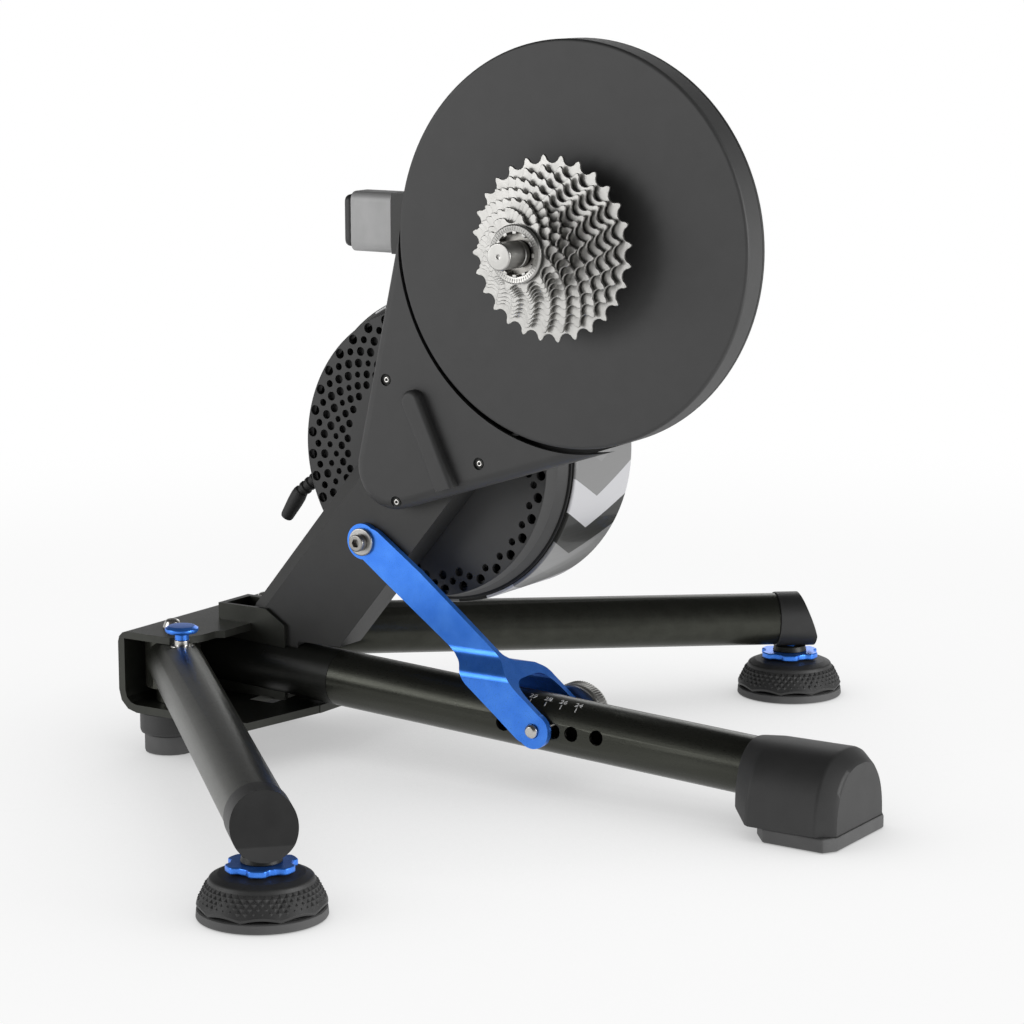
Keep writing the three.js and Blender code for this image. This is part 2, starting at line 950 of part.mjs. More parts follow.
function roundedBar(inset, rearX, frontX) {
  const near = armNearY + inset;
  const far = armFarY - inset;
  const bottom = handleBottom + inset;
  const top = handleTop - inset;
  const points = [
    [near + handleEdge, bottom],
    [far - handleEdge, bottom],
    [far, bottom + handleEdge],
    [far, top - handleEdge],
    [far - handleEdge, top],
    [near + handleEdge, top],
    [near, top - handleEdge],
    [near, bottom + handleEdge],
  ];
  return beam(points, rearX, frontX);
}
const gripFrontX = handleStepX - seatGap;
const grip = cutBy(
  joined(
    roundedBar(0, handleEndX, gripFrontX),
    block(
      gripFrontX - handleEdge,
      gripFrontX + handleSpigot,
      armNearY + handleWall,
      armFarY - handleWall,
      handleBottom + handleWall,
      handleTop - handleWall,
    ),
  ),
  roundedBar(handleWall, handleEndX - handleEdge, handleEndX + handleSpigot),
);
place(trainer, "handle_grip", grip, ...greyPlastic);

const capFrontX = handleEndX - seatGap;
const handleCap = joined(
  roundedBar(capInset, handleCapX, capFrontX),
  roundedBar(handleWall + seatGap, capFrontX - seatGap, handleEndX + handleSpigot - handleEdge),
);
place(trainer, "handle_cap", handleCap, ...plastic);

// Flywheel, its shaft and the brake inside it
const cover = turned(
  [
    [brakeBore, brakeNearY],
    [brakeFaceRadius, brakeNearY],
    [brakeWallRadius, brakeWallY],
    [brakeRimRadius, brakeBevelY],
    [brakeRimRadius, brakeRimY],
    [sealRadius, brakeRimY],
    [sealRadius, brakeFarY],
    [brakeRimRadius - brakeSkin, brakeFarY],
    [brakeRimRadius - brakeSkin, brakeBevelY],
    [brakeWallRadius - brakeSkin, brakeWallY],
    [brakeFaceRadius - brakeSkin, brakeNearY + brakeSkin],
    [brakeBore, brakeNearY + brakeSkin],
  ],
  flywheelX,
  flywheelZ,
  drumSides,
);
const plugReach = Math.hypot(bootStartX - flywheelX, bootStartZ - flywheelZ);
place(trainer, "brake_cover", cover, ...drumGrey);

const coreNearY = brakeNearY + brakeSkin + seatGap;
const core = ring(
  coreRadius,
  coreBore,
  coreNearY,
  coreNearY + coreLength,
  flywheelX,
  flywheelZ,
  wheelSides,
);
place(trainer, "brake_core", core, ...casting);

const flywheelFarY = flywheelNearY + flywheelWidth;
const flywheelInner = flywheelRadius - flywheelRim;
const wheelWebY = flywheelFarY - flywheelWeb;
const wheel = turned(
  [
    [flywheelInner, flywheelNearY],
    [flywheelRadius - flywheelEdge, flywheelNearY],
    [flywheelRadius, flywheelNearY + flywheelEdge],
    [flywheelRadius, flywheelFarY - flywheelEdge],
    [flywheelRadius - flywheelEdge, flywheelFarY],
    [shaftRadius + seatGap, flywheelFarY],
    [shaftRadius + seatGap, wheelWebY],
    [flywheelInner, wheelWebY],
  ],
  flywheelX,
  flywheelZ,
  drumSides,
);
place(trainer, "flywheel", wheel, ...steel);

const shaftNearY = coverFaceY + skinThickness + runGap;
const wheelShaft = turned(
  [
    [0, shaftNearY],
    [shaftThin, shaftNearY],
    [shaftThin, pulleyInnerY + seatGap],
    [shaftRadius, pulleyInnerY + seatGap],
    [shaftRadius, flywheelFarY],
    [shaftRadius - shaftNose / 2, flywheelFarY],
    [shaftRadius - shaftNose / 2, flywheelFarY - shaftNose],
    [0, flywheelFarY - shaftNose],
  ],
  flywheelX,
  flywheelZ,
  tubeSides,
);
place(trainer, "flywheel_shaft", wheelShaft, ...steel);

// Power lead boot at the rim of the brake cover: a ribbed neck, then a smooth grip
function bootBar(radius, fromX, fromZ, toX, toZ) {
  const length = Math.hypot(toX - fromX, toZ - fromZ);
  const geometry = new THREE.CylinderGeometry(radius, radius, length, bootSides);
  geometry.rotateZ(Math.atan2(toX - fromX, toZ - fromZ) * -1);
  geometry.rotateX(Math.PI / 2);
  return bodyOf(geometry.translate((fromX + toX) / 2, bootY, (fromZ + toZ) / 2));
}
function alongBoot(share) {
  return [
    bootStartX + (bootBendX - bootStartX) * share,
    bootStartZ + (bootBendZ - bootStartZ) * share,
  ];
}
const ribShare = 1 / (bootRibs * 2);
const neckStart = (brakeRimRadius + seatGap - plugReach) / Math.hypot(
  bootBendX - bootStartX,
  bootBendZ - bootStartZ,
);
const bootRibBodies = [];
for (let i = 0; i < bootRibs; i += 1) {
  const share = neckStart + ((1 - neckStart) * (i + 1 / 2)) / bootRibs;
  bootRibBodies.push(bootBar(bootRibRadius, ...alongBoot(share), ...alongBoot(share + ribShare / 2)));
}
const boot = cutBy(
  joined(
    bootBar(bootNeckRadius, bootStartX, bootStartZ, bootBendX, bootBendZ),
    ...bootRibBodies,
    bootBar(bootGripRadius, bootBendX, bootBendZ, bootEndX, bootEndZ),
  ),
  rod(
    brakeRimRadius + seatGap,
    brakeNearY - brakeSkin,
    brakeFarY + brakeSkin,
    flywheelX,
    flywheelZ,
    drumSides,
  ),
);
place(trainer, "power_boot", boot, ...rubber);

// Hub channel: a bent plate open to the front, with a raised mouth for the arm
const hubSectionX = bottomFrontX + hubWall;
const hubSection = [
  ...arcPoints(
    webX + bottomCorner,
    hubBottom + bottomCorner,
    bottomCorner,
    Math.PI * 1.5,
    Math.PI,
    cornerSteps,
  ),
  ...arcPoints(webX + topCorner, hubTop - topCorner, topCorner, Math.PI, Math.PI / 2, cornerSteps),
  [hubSectionX, hubTop],
  [hubSectionX, hubBottom],
];
const innerRear = webX + hubWall;
const innerBottom = hubBottom + hubWall;
const innerTop = hubTop - hubTopWall;
const innerCorner = bottomCorner - hubWall;
const hubHollow = [
  ...arcPoints(
    innerRear + innerCorner,
    innerBottom + innerCorner,
    innerCorner,
    Math.PI * 1.5,
    Math.PI,
    cornerSteps,
  ),
  [innerRear, innerTop],
  [hubSectionX + hubWall, innerTop],
  [hubSectionX + hubWall, innerBottom],
];
function pivotArc(side, steps) {
  const start = side * Math.asin((hubHalfWidth - legPivotY) / legClearRadius);
  return arcPoints(legPivotX, side * legPivotY, legClearRadius, start, 0, steps);
}
const arcSteps = 6;
const topPlan = [
  [webX - hubWall, -hubHalfWidth],
  ...pivotArc(-1, arcSteps),
  [topNotchX, -topNotchY],
  [topFrontX, -topFrontY],
  [topFrontX, topFrontY],
  [topNotchX, topNotchY],
  ...pivotArc(1, arcSteps).reverse(),
  [webX - hubWall, hubHalfWidth],
];
const bottomPlan = [
  [webX - hubWall, -hubHalfWidth],
  [bottomCornerX, -hubHalfWidth],
  [bottomFrontX, -bottomFlatY],
  [bottomFrontX, bottomFlatY],
  [bottomCornerX, hubHalfWidth],
  [webX - hubWall, hubHalfWidth],
];
const hubMiddle = (hubTop + hubBottom) / 2;
const hubShape = cutBy(
  slab(hubSection, -hubHalfWidth, hubHalfWidth),
  slab(hubHollow, -hubHalfWidth - hubWall, hubHalfWidth + hubWall),
);
const hubUpper = hubShape.intersect(plate(topPlan, hubMiddle, hubTop + hubWall));
const hubLower = hubShape.intersect(plate(bottomPlan, hubBottom - hubWall, hubMiddle));
const mouthNearY = armNearY - seatGap - mouthNearWall;
const mouthFarY = armFarY + seatGap + mouthFarWall;
const mouthOutline = [
  [mouthRearX, innerBottom - hubWall / 2],
  [mouthFrontX, innerBottom - hubWall / 2],
  [mouthFrontX, mouthFrontTop],
  [mouthBendX, mouthTop],
  [mouthRearX, mouthTop],
];
const mouth = cutBy(
  slab(mouthOutline, mouthNearY, mouthFarY),
  block(
    mouthRearX + mouthRearWall,
    mouthFrontX + hubWall,
    armNearY - seatGap,
    armFarY + seatGap,
    hubBottom - hubWall,
    mouthTop + hubWall,
  ),
);
const socketReach = tubeRadius + seatGap;
const mouthTube = slopedBar(
  socketReach,
  webX + hubWall / 2,
  seamX,
  centreHeight,
  centreSlope,
  tubeSides,
);
const mouthFloor = block(
  mouthRearX,
  bottomFrontX,
  mouthNearY,
  mouthFarY,
  hubBottom,
  innerBottom,
);
const boltHole = legBoltRadius + boreGap;
const hubChannel = cutBy(
  joined(hubUpper, hubLower, mouth, mouthFloor),
  block(
    mouthRearX + mouthRearWall,
    topFrontX + hubWall,
    armNearY - seatGap,
    armFarY + seatGap,
    innerBottom,
    hubTop + hubWall,
  ),
  block(drainRearX, drainFrontX, drainNearY, drainFarY, hubBottom - hubWall, innerBottom + seatGap),
  mouthTube,
  rod(
    armBoltRadius + boreGap,
    mouthNearY - hubWall,
    mouthFarY + hubWall,
    tongueX,
    tongueZ,
    smallSides,
  ),
  post(boltHole, hubBottom - hubWall, hubTop + hubWall, legPivotX, -legPivotY, smallSides),
  post(boltHole, hubBottom - hubWall, hubTop + hubWall, legPivotX, legPivotY, smallSides),
);
place(trainer, "hub_channel", hubChannel, ...casting);

const socketRearX = innerRear + seatGap;
const slotRearX = tongueX - tongueRadius - runGap;
const slotFrontX = tongueX + tongueRadius + runGap;
const socket = cutBy(
  slopedBar(tubeRadius, socketRearX, seamX - seatGap, centreHeight, centreSlope, tubeSides),
  slopedBar(
    tubeRadius - tubeWall,
    socketRearX - tubeWall,
    seamX + tubeWall,
    centreHeight,
    centreSlope,
    tubeSides,
  ),
  block(slotRearX, slotFrontX, armNearY - runGap, tubeRadius + seatGap, hubBottom, mouthTop),
  rod(
    armBoltRadius + boreGap,
    armPinInset - seatGap - tubeRadius,
    mouthFarY,
    tongueX,
    tongueZ,
    smallSides,
  ),
);
place(trainer, "centre_socket", socket, ...anodised);

const armBolt = rod(
  armBoltRadius,
  armPinInset - tubeRadius,
  mouthFarY,
  tongueX,
  tongueZ,
  smallSides,
);
place(trainer, "arm_pivot_pin", armBolt, ...steel);

// Centre tube with its row of pin holes
const pinHole = pinRadius + boreGap;
const holeReach = tubeRadius + tubeWall;
const tubeHoles = holeOffsets.map((offset) =>
  rod(pinHole, -holeReach, holeReach, pinX + offset, pinZ, smallSides),
);
const centreTube = cutBy(
  slopedBar(tubeRadius, seamX, tubeEndX, centreHeight, centreSlope, tubeSides),
  slopedBar(
    tubeRadius - tubeWall,
    seamX - tubeWall,
    tubeEndX + tubeWall,
    centreHeight,
    centreSlope,
    tubeSides,
  ),
  ...tubeHoles,
);
place(trainer, "centre_tube", centreTube, ...anodised);

// Centre foot: a flared block over the end of the tube, on a flat pad
const footLength = centreFrontX - centreRearX;
const footRise = centreTop - centrePadHeight;
const flank = footFlankShares.map(([w, h]) => [w * centreWidth, centrePadHeight + h * footRise]);
const flankOutline = [...flank, ...[...flank].reverse().map(([y, z]) => [-y, z])];
const plan = footPlanShares.map(([l, w]) => [centreRearX + l * footLength, w * centreWidth]);
const planOutline = [...plan.map(([x, y]) => [x, -y]), ...[...plan].reverse()];
const sideOutline = footSideShares.map(([l, h]) => [centreRearX + l * footLength, h * centreTop]);
const tubePocket = slopedBar(
  tubeRadius + seatGap,
  centreRearX - footLength,
  tubeEndX + seatGap,
  centreHeight,
  centreSlope,
  tubeSides,
);
const centreFoot = cutBy(
  slab([...sideOutline].reverse(), -centreWidth, centreWidth)
    .intersect(beam(flankOutline, centreRearX - tubeWall, centreFrontX + tubeWall))
    .intersect(plate(planOutline, 0, centreTop + tubeWall)),
  tubePocket,
);
place(trainer, "centre_foot", centreFoot, ...plastic);

const padTop = centrePadHeight - seatGap;
const padPlan = plan.map(([x, y]) => [Math.max(x, centrePadRearX), y]).slice(1);
const padOutline = [...padPlan.map(([x, y]) => [x, -y]), ...[...padPlan].reverse()];
place(trainer, "centre_pad", plate(padOutline, 0, padTop), ...greyPlastic);

// One side of the base, drawn on the drive side; the other side is its mirror image
function baseSide(sideName, mirror) {
  const side = new THREE.Group();
  side.name = sideName + "_side";
  side.scale.y = mirror;
  trainer.add(side);
  const put = (parent, name, body, finish) =>
    place(parent, sideName + "_" + name, body, ...finish);

  const leg = new THREE.Group();
  leg.name = sideName + "_leg";
  leg.position.set(legPivotX, -legPivotY, 0);
  leg.rotation.z = -legAngle;
  side.add(leg);

  const legSlope = (legPivotHeight - legStudHeight) / legLength;
  const tubeEnd = legLength - capSeam;
  const flatTop = innerTop - seatGap;
  const sleeveBottom = innerBottom + seatGap;
  const legBar = slopedBar(tubeRadius, 0, tubeEnd - seatGap, legPivotHeight, legSlope, tubeSides);
  const legBore = slopedBar(
    tubeRadius - tubeWall,
    legPlugLength,
    legLength,
    legPivotHeight,
    legSlope,
    tubeSides,
  );
  const legTube = cutBy(
    joined(
      legBar,
      post(tubeRadius, legPivotHeight - tubeRadius, flatTop, 0, 0, tubeSides),
      post(sleeveRadius, sleeveBottom, flatTop, 0, 0, tubeSides),
    ),
    legBore,
    block(-tubeRadius - tubeWall, legFlatEnd, -tubeRadius, tubeRadius, flatTop, hubTop + hubTop),
    post(legBoltRadius + boreGap, 0, hubTop, 0, 0, smallSides),
    post(lockPinRadius + boreGap, lockPinBottom - runGap, hubTop, lockReach, lockSide, smallSides),
  );
  put(leg, "leg_tube", legTube, anodised);

  const capLow = capReach + capRadius * Math.tan(capTilt);
  const capHigh = capReach - capRadius * Math.tan(capTilt);
  const capEnd = slab(
    [
      [tubeEnd, legStudHeight - capRadius - capBulge],
      [legLength + capLow, legStudHeight - capRadius - capBulge],
      [legLength + capLow - capBulge / 2, legStudHeight - capRadius / 2],
      [legLength + capHigh + capBulge, legStudHeight + capRadius / 2],
      [legLength + capHigh - capBulge / 2, legStudHeight + capRadius + capBulge],
      [tubeEnd, legStudHeight + capRadius + capBulge],
    ],
    -capRadius - capBulge,
    capRadius + capBulge,
  );
  const legCap = cutBy(
    joined(
      slopedBar(
        capRadius,
        tubeEnd,
        legLength + capLow,
        legPivotHeight,
        legSlope,
        tubeSides,
      ).intersect(capEnd),
      slopedBar(
        tubeRadius - tubeWall - seatGap,
        tubeEnd - capSpigot,
        tubeEnd + capSeam,
        legPivotHeight,
        legSlope,
        tubeSides,
      ),
    ),
    post(studRadius + boreGap, 0, studTop + runGap, legLength, 0, smallSides),
  );
  put(leg, "leg_cap", legCap, plastic);

  const collarBottom = flatTop + seatGap;
  const collarTop = collarBottom + lockCollarHeight;
  const collar = upright(
    [
      [lockPinRadius + boreGap, collarBottom],
      [lockSeatRadius, collarBottom],
      [lockSeatRadius, collarBottom + lockSeatHeight],
      [lockCollarRadius, collarBottom + lockSeatHeight],
      [lockCollarRadius, collarTop],
      [lockPinRadius + boreGap, collarTop],
    ],
    lockReach,
    lockSide,
    smallSides,
  );
  const collarClear = post(legClearRadius + runGap, 0, hubTop + hubTop, 0, 0, drumSides);
  put(leg, "lock_collar", cutBy(collar, collarClear), silver);
  const knobTop = lockKnobBottom + lockKnobHeight;
  const lockKnob = upright(
    [
      [0, lockPinBottom],
      [lockPinRadius, lockPinBottom],
      [lockPinRadius, lockKnobBottom],
      [lockKnobRadius - lockKnobEdge, lockKnobBottom],
      [lockKnobRadius, lockKnobBottom + lockKnobEdge],
      [lockKnobRadius, knobTop - lockKnobEdge],
      [lockKnobRadius - lockKnobEdge, knobTop],
      [0, knobTop],
    ],
    lockReach,
    lockSide,
    tubeSides,
  );
  put(leg, "lock_knob", lockKnob, blue);

  const domeProfile = domeShares.map(([r, h]) => [r * domeRadius, h * domeTop]);
  const dome = upright(
    [
      [studRadius + boreGap, padHeight + seatGap],
      [domeProfile[0][0], padHeight + seatGap],
      ...domeProfile,
      [studRadius + boreGap, domeTop],
    ],
    legLength,
    0,
    wheelSides,
  );
  put(leg, "foot_dome", dome, plastic);
  const pad = upright(
    [
      [0, 0],
      [padRadius - padEdge, 0],
      [padRadius, padEdge],
      [padRadius, padHeight - padEdge],
      [padRadius - padEdge, padHeight],
      [0, padHeight],
    ],
    legLength,
    0,
    wheelSides,
  );
  put(leg, "foot_pad", pad, greyPlastic);

  const starBottom = domeTop + seatGap;
  const starOutline = [];
  for (let i = 0; i < starLobes * 4; i += 1) {
    const angle = (Math.PI * i) / (starLobes * 2);
    const onLobe = i % 4 < 2;
    const radius = starRadius * (onLobe ? 1 : starValleyShare);
    starOutline.push([legLength + radius * Math.cos(angle), radius * Math.sin(angle)]);
  }
  const collarRise = legStudHeight - capRadius - runGap;
  const star = joined(
    plate(starOutline, starBottom, starBottom + starHeight),
    post(starCollarRadius, starBottom, collarRise, legLength, 0, smallSides),
    post(studRadius, padHeight + runGap, studTop, legLength, 0, smallSides),
  );
  put(leg, "foot_star", star, blue);

  const bolt = upright(
    [
      [0, hubBottom],
      [legBoltRadius, hubBottom],
      [legBoltRadius, hubTop + seatGap],
      [legBoltHeadRadius, hubTop + seatGap],
      [legBoltHeadRadius, hubTop + seatGap + legBoltHeadHeight],
      [legBoltHex, hubTop + seatGap + legBoltHeadHeight],
      [legBoltHex, hubTop + seatGap],
      [0, hubTop + seatGap],
    ],
    legPivotX,
    -legPivotY,
    smallSides,
  );
  put(side, "leg_bolt", bolt, steel);

  const rearFoot = upright(
    [
      [rearScrewRadius, rearPadHeight + seatGap],
      [rearFootRadius - padEdge, rearPadHeight + seatGap],
      [rearFootRadius, rearPadHeight + seatGap + padEdge],
      [rearFootRadius, hubBottom - seatGap],
      [rearScrewRadius, hubBottom - seatGap],
    ],
    rearFootX,
    -rearFootY,
    tubeSides,
  );
  put(side, "rear_foot", rearFoot, plastic);
  put(
    side,
    "rear_pad",
    post(rearPadRadius, 0, rearPadHeight, rearFootX, -rearFootY, tubeSides),
    greyPlastic,
  );
}
baseSide("right", 1);
baseSide("left", -1);

// Strut: a bent plate from the arm down to a fork over the centre tube
const bandFarY = strutNearY + strutThickness;
const forkFarY = -forkNearY;
const forkInner = -forkNearY - forkThickness;
const strutTop = eyeZ + eyeRadius + strutThickness;
const strutProfile = [
  [strutNearY, strutTop],
  [strutNearY, bendTopZ],
  [forkNearY, bendBottomZ],
  [forkNearY, 0],
  [-forkInner, 0],
  [-forkInner, bridgeUnderZ],
  [forkInner, bridgeUnderZ],
  [forkInner, 0],
  [forkFarY, 0],
  [forkFarY, farBendZ],
  [forkInner - bridgeThickness, bridgeFarZ],
  [bandFarY + bridgeThickness, bridgeNearZ],
  [bandFarY, bendTopZ],
  [bandFarY, strutTop],
];
const strutOutline = strutOutlineShares.map(([u, v]) => [
  eyeX + u * strutSpread,
  eyeZ + v * strutSpread,
]);
const strutEndY = forkNearY - strutThickness;
const strutStartY = forkFarY + strutThickness;
const strutSide = joined(
  slab(strutOutline, strutEndY, strutStartY),
  rod(eyeRadius, strutEndY, strutStartY, eyeX, eyeZ, tubeSides),
  rod(pinBossRadius, strutEndY, strutStartY, pinX, pinZ, tubeSides),
);
const strut = cutBy(
  beam(strutProfile, eyeX - strutSpread, pinX + strutSpread).intersect(strutSide),
  rod(pinHole, strutEndY, strutStartY, pinX, pinZ, tubeSides),
  rod(strutBoltRadius + boreGap, strutEndY, strutStartY, eyeX, eyeZ, tubeSides),
);
place(trainer, "strut", strut, ...blue);

const washer = ring(
  strutWasherRadius,
  strutBoltRadius + boreGap,
  strutNearY - seatGap - strutWasherHeight,
  strutNearY - seatGap,
  eyeX,
  eyeZ,
  tubeSides,
);
place(trainer, "strut_washer", washer, ...steel);

const strutBoltSeat = strutNearY - seatGap - strutWasherHeight - seatGap;
const strutBolt = turned(
  [
    [0, strutBoltSeat - strutBoltHeadHeight],
    [strutBoltHeadRadius, strutBoltSeat - strutBoltHeadHeight],
    [strutBoltHeadRadius, strutBoltSeat],
    [strutBoltRadius, strutBoltSeat],
    [strutBoltRadius, armFarY],
    [0, armFarY],
  ],
  eyeX,
  eyeZ,
  smallSides,
);
place(trainer, "strut_bolt", strutBolt, ...steel);

const pinSeat = forkNearY - seatGap;
const knobSeat = forkFarY + seatGap;
const pin = turned(
  [
    [0, pinSeat - pinNose],
    [pinRadius - pinEdge, pinSeat - pinNose],
    [pinRadius, pinSeat - pinNose + pinEdge],
    [pinRadius, knobSeat + knobSpigot - runGap],
    [0, knobSeat + knobSpigot - runGap],
  ],
  pinX,
  pinZ,
  tubeSides,
);
place(trainer, "lock_pin", pin, ...steel);

const knobEndY = knobSeat + knobNeckHeight + knobHeight;
const pinKnob = turned(
  [
    [pinRadius + seatGap, knobSeat],
    [knobNeckRadius, knobSeat],
    [knobNeckRadius, knobSeat + knobNeckHeight],
    [knobRadius, knobSeat + knobNeckHeight],
    [knobRadius, knobEndY],
    [0, knobEndY],
    [0, knobSeat + knobSpigot],
    [pinRadius + seatGap, knobSeat + knobSpigot],
  ],
  pinX,
  pinZ,
  tubeSides,
);
place(trainer, "pin_knob", pinKnob, ...silver);

// The part stands on the floor with the middle of its box over the origin
trainer.updateMatrixWorld(true);
const box = new THREE.Box3().setFromObject(trainer);
const middle = box.getCenter(new THREE.Vector3());
trainer.position.set(-middle.x, -middle.y, -box.min.z);

export default trainer;
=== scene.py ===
# %% [markdown]
# # Direct drive bike trainer
# The bike's rear wheel comes off and its chain runs on a cassette that belongs to the trainer. A
# belt behind the round cover turns a heavy flywheel, and a brake inside the flywheel resists.
# The frame holds the plain solids with their joints. This notebook dresses them: each piece that
# needs finer edges is made again here, in millimetres, and then laid over its solid. The solids
# could be shown as they are, but every round part would then show its few flat faces.

# %% The frame and its box
import json
import math

import bmesh
import bpy
from mathutils import Matrix, Vector


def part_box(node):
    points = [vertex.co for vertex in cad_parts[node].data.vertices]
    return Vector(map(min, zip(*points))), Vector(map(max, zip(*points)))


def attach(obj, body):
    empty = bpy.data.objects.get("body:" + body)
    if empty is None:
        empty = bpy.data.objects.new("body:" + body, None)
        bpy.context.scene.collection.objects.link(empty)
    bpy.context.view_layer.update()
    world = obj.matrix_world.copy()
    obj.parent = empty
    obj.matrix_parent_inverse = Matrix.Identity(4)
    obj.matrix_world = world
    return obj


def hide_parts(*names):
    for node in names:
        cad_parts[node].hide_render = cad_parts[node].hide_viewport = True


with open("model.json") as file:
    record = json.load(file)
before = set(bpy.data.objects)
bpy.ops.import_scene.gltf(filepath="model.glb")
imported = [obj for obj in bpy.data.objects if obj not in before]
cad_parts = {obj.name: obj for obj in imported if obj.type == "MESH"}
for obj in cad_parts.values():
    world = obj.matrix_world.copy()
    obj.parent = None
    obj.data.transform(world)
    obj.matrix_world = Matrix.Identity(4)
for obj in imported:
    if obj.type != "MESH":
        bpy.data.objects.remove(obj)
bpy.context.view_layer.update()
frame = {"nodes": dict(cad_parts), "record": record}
MM = 0.001
disc_low, disc_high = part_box("drum_cover")
AXLE_X = (disc_low.x + disc_high.x) / 2
SHIFT = Vector((AXLE_X, 0, 0))
print("the axle stands", round(AXLE_X / MM, 1), "mm forward of the frame's origin")


# %% [markdown]
# ## Camera
# The photograph was taken from far off with a long lens, so the lines of the object stay almost
# parallel. The camera could be turned by three angles. Here its right, up and back directions are
# the columns of a matrix, because matching points of the object with the photograph gives them
# directly, and a slip in one of them is easy to see.

# %% Camera
CAMERA_PLACE = Vector((1.1113, -1.7029, 0.5527))
CAMERA_RIGHT = Vector((0.8394, 0.5436, -0.0027))
CAMERA_BACK = Vector((0.5351, -0.8254, 0.1796))
LENS = 110.71
FILM_WIDTH = 36


def linked(name, data):
    """A new object that holds this data, put in the scene."""
    made = bpy.data.objects.new(name, data)
    bpy.context.collection.objects.link(made)
    return made


def look_from(place, right, back):
    back = back.normalized()
    up = back.cross(right).normalized()
    right = up.cross(back)
    turn = Matrix((right, up, back)).transposed().to_4x4()
    return Matrix.Translation(place) @ turn


camera_data = bpy.data.cameras.new("camera")
camera_data.lens = LENS
camera_data.sensor_width = FILM_WIDTH
camera = linked("camera", camera_data)
camera.matrix_world = look_from(CAMERA_PLACE, CAMERA_RIGHT, CAMERA_BACK)
bpy.context.scene.camera = camera
print("camera at", tuple(round(value, 3) for value in camera.location))


# %% [markdown]
# ## Node expressions
# Materials need a little maths, such as the distance of a point from the middle of a wheel. It
# could be written node by node, which is long and hard to check. A small class wraps a socket
# and overloads the operators instead, so `1 - mask` builds the Math node that works it out.

# %% A wire between nodes
class Wire:
    """One output socket, on which Python's operators add Math nodes."""

    def __init__(self, graph, socket):
        self.graph = graph
        self.socket = socket

    def __add__(self, other):
        return self.graph.math("ADD", self, other)

    __radd__ = __add__

    def __sub__(self, other):
        return self.graph.math("SUBTRACT", self, other)

    def __rsub__(self, other):
        return self.graph.math("SUBTRACT", other, self)

    def __mul__(self, other):
        return self.graph.math("MULTIPLY", self, other)

    __rmul__ = __mul__

    def __truediv__(self, other):
        return self.graph.math("DIVIDE", self, other)

    def __rtruediv__(self, other):
        return self.graph.math("DIVIDE", other, self)

    def __mod__(self, other):
        return self.graph.math("FLOORED_MODULO", self, other)

    def __gt__(self, other):
        return self.graph.math("GREATER_THAN", self, other)

    def __lt__(self, other):
        return self.graph.math("LESS_THAN", self, other)

    def __abs__(self):
        return self.graph.math("ABSOLUTE", self)


OPERATORS = [name for name, value in vars(Wire).items() if callable(value) and name != "__init__"]
print("operators on a wire:", len(OPERATORS))


# %% A graph that adds nodes
class Graph:
    """Adds nodes to a tree: a type, its settings, and values or wires for its sockets."""

    def __init__(self, tree):
        self.tree = tree

    def node(self, kind, settings=None, inputs=None, output=0):
        made = self.tree.nodes.new(kind)
        for key, value in (settings or {}).items():
            if key == "stops":
                self.fill_ramp(made.color_ramp, value)
            else:
                setattr(made, key, value)
        for key, value in (inputs or {}).items():
            self.feed(made.inputs[key], value)
        return Wire(self, made.outputs[output]) if len(made.outputs) else made

    def feed(self, socket, value):
        if isinstance(value, Wire):
            self.tree.links.new(value.socket, socket)
        else:
            socket.default_value = value

    def fill_ramp(self, ramp, stops):
        while len(ramp.elements) < len(stops):
            ramp.elements.new(1)
        for element, (place, shade) in zip(ramp.elements, stops):
            element.position = place
            element.color = (*shade, 1)

    def math(self, operation, first, second=0):
        return self.node("ShaderNodeMath", {"operation": operation}, {0: first, 1: second})

    def ramp(self, factor, stops):
        return self.node("ShaderNodeValToRGB", {"stops": stops}, {0: factor})

    def ranged(self, value, start, end, low=0, high=1, curve="SMOOTHSTEP"):
        """Maps the part of a value from start to end onto low to high."""
        settings = {"interpolation_type": curve, "clamp": True}
        inputs = {"Value": value, "From Min": start, "From Max": end, "To Min": low, "To Max": high}
        return self.node("ShaderNodeMapRange", settings, inputs)

    def mix(self, factor, first, second):
        settings = {"data_type": "RGBA"}
        return self.node("ShaderNodeMix", settings, {0: factor, 6: first, 7: second}, 2)

    def split(self, vector):
        made = self.tree.nodes.new("ShaderNodeSeparateXYZ")
        self.feed(made.inputs[0], vector)
        return [Wire(self, socket) for socket in made.outputs]


print("a graph offers:", [name for name in vars(Graph) if not name.startswith("_")])


# %% Written colours
def linear(hex_colour):
    """The amounts of red, green and blue light behind a colour as it is written for a screen."""
    shades = [int(hex_colour[i:i + 2], 16) / 255 for i in (1, 3, 5)]
    return tuple(s / 12.92 if s <= 0.04045 else ((s + 0.055) / 1.055) ** 2.4 for s in shades)


print("a written grey of #808080 is", round(linear("#808080")[0], 3), "in light")


# %% [markdown]
# ## Floor, backdrop and light
# The background is plain white paper, bright at the sides, dim overhead and behind the camera:
# that is why the tops of the tubes stay black while their sides are bright. Under the object the
# floor mixes real shadow with its own glow, which an Ambient Occlusion node darkens close to the
# object, as wide lamps would. A curved sheet behind the object could hide the horizon too, but
# only from one side. A flat floor that fades into pure white has none from anywhere.

# %% Light from all round
WALL_LIGHT = 0.6
CEILING_LIGHT = 0.06
CEILING_FROM = 0.16
CEILING_TO = 0.42
DARK_SIDE = (0.545, -0.838)
DARK_FROM = 0.7
DARK_TO = 0.98
DARK_SHARE = 0.55


def grey(tone):
    return (tone, tone, tone, 1)


def empty_graph(owner):
    """The node tree of a world or material, emptied."""
    owner.use_nodes = True
    owner.node_tree.nodes.clear()
    return Graph(owner.node_tree)


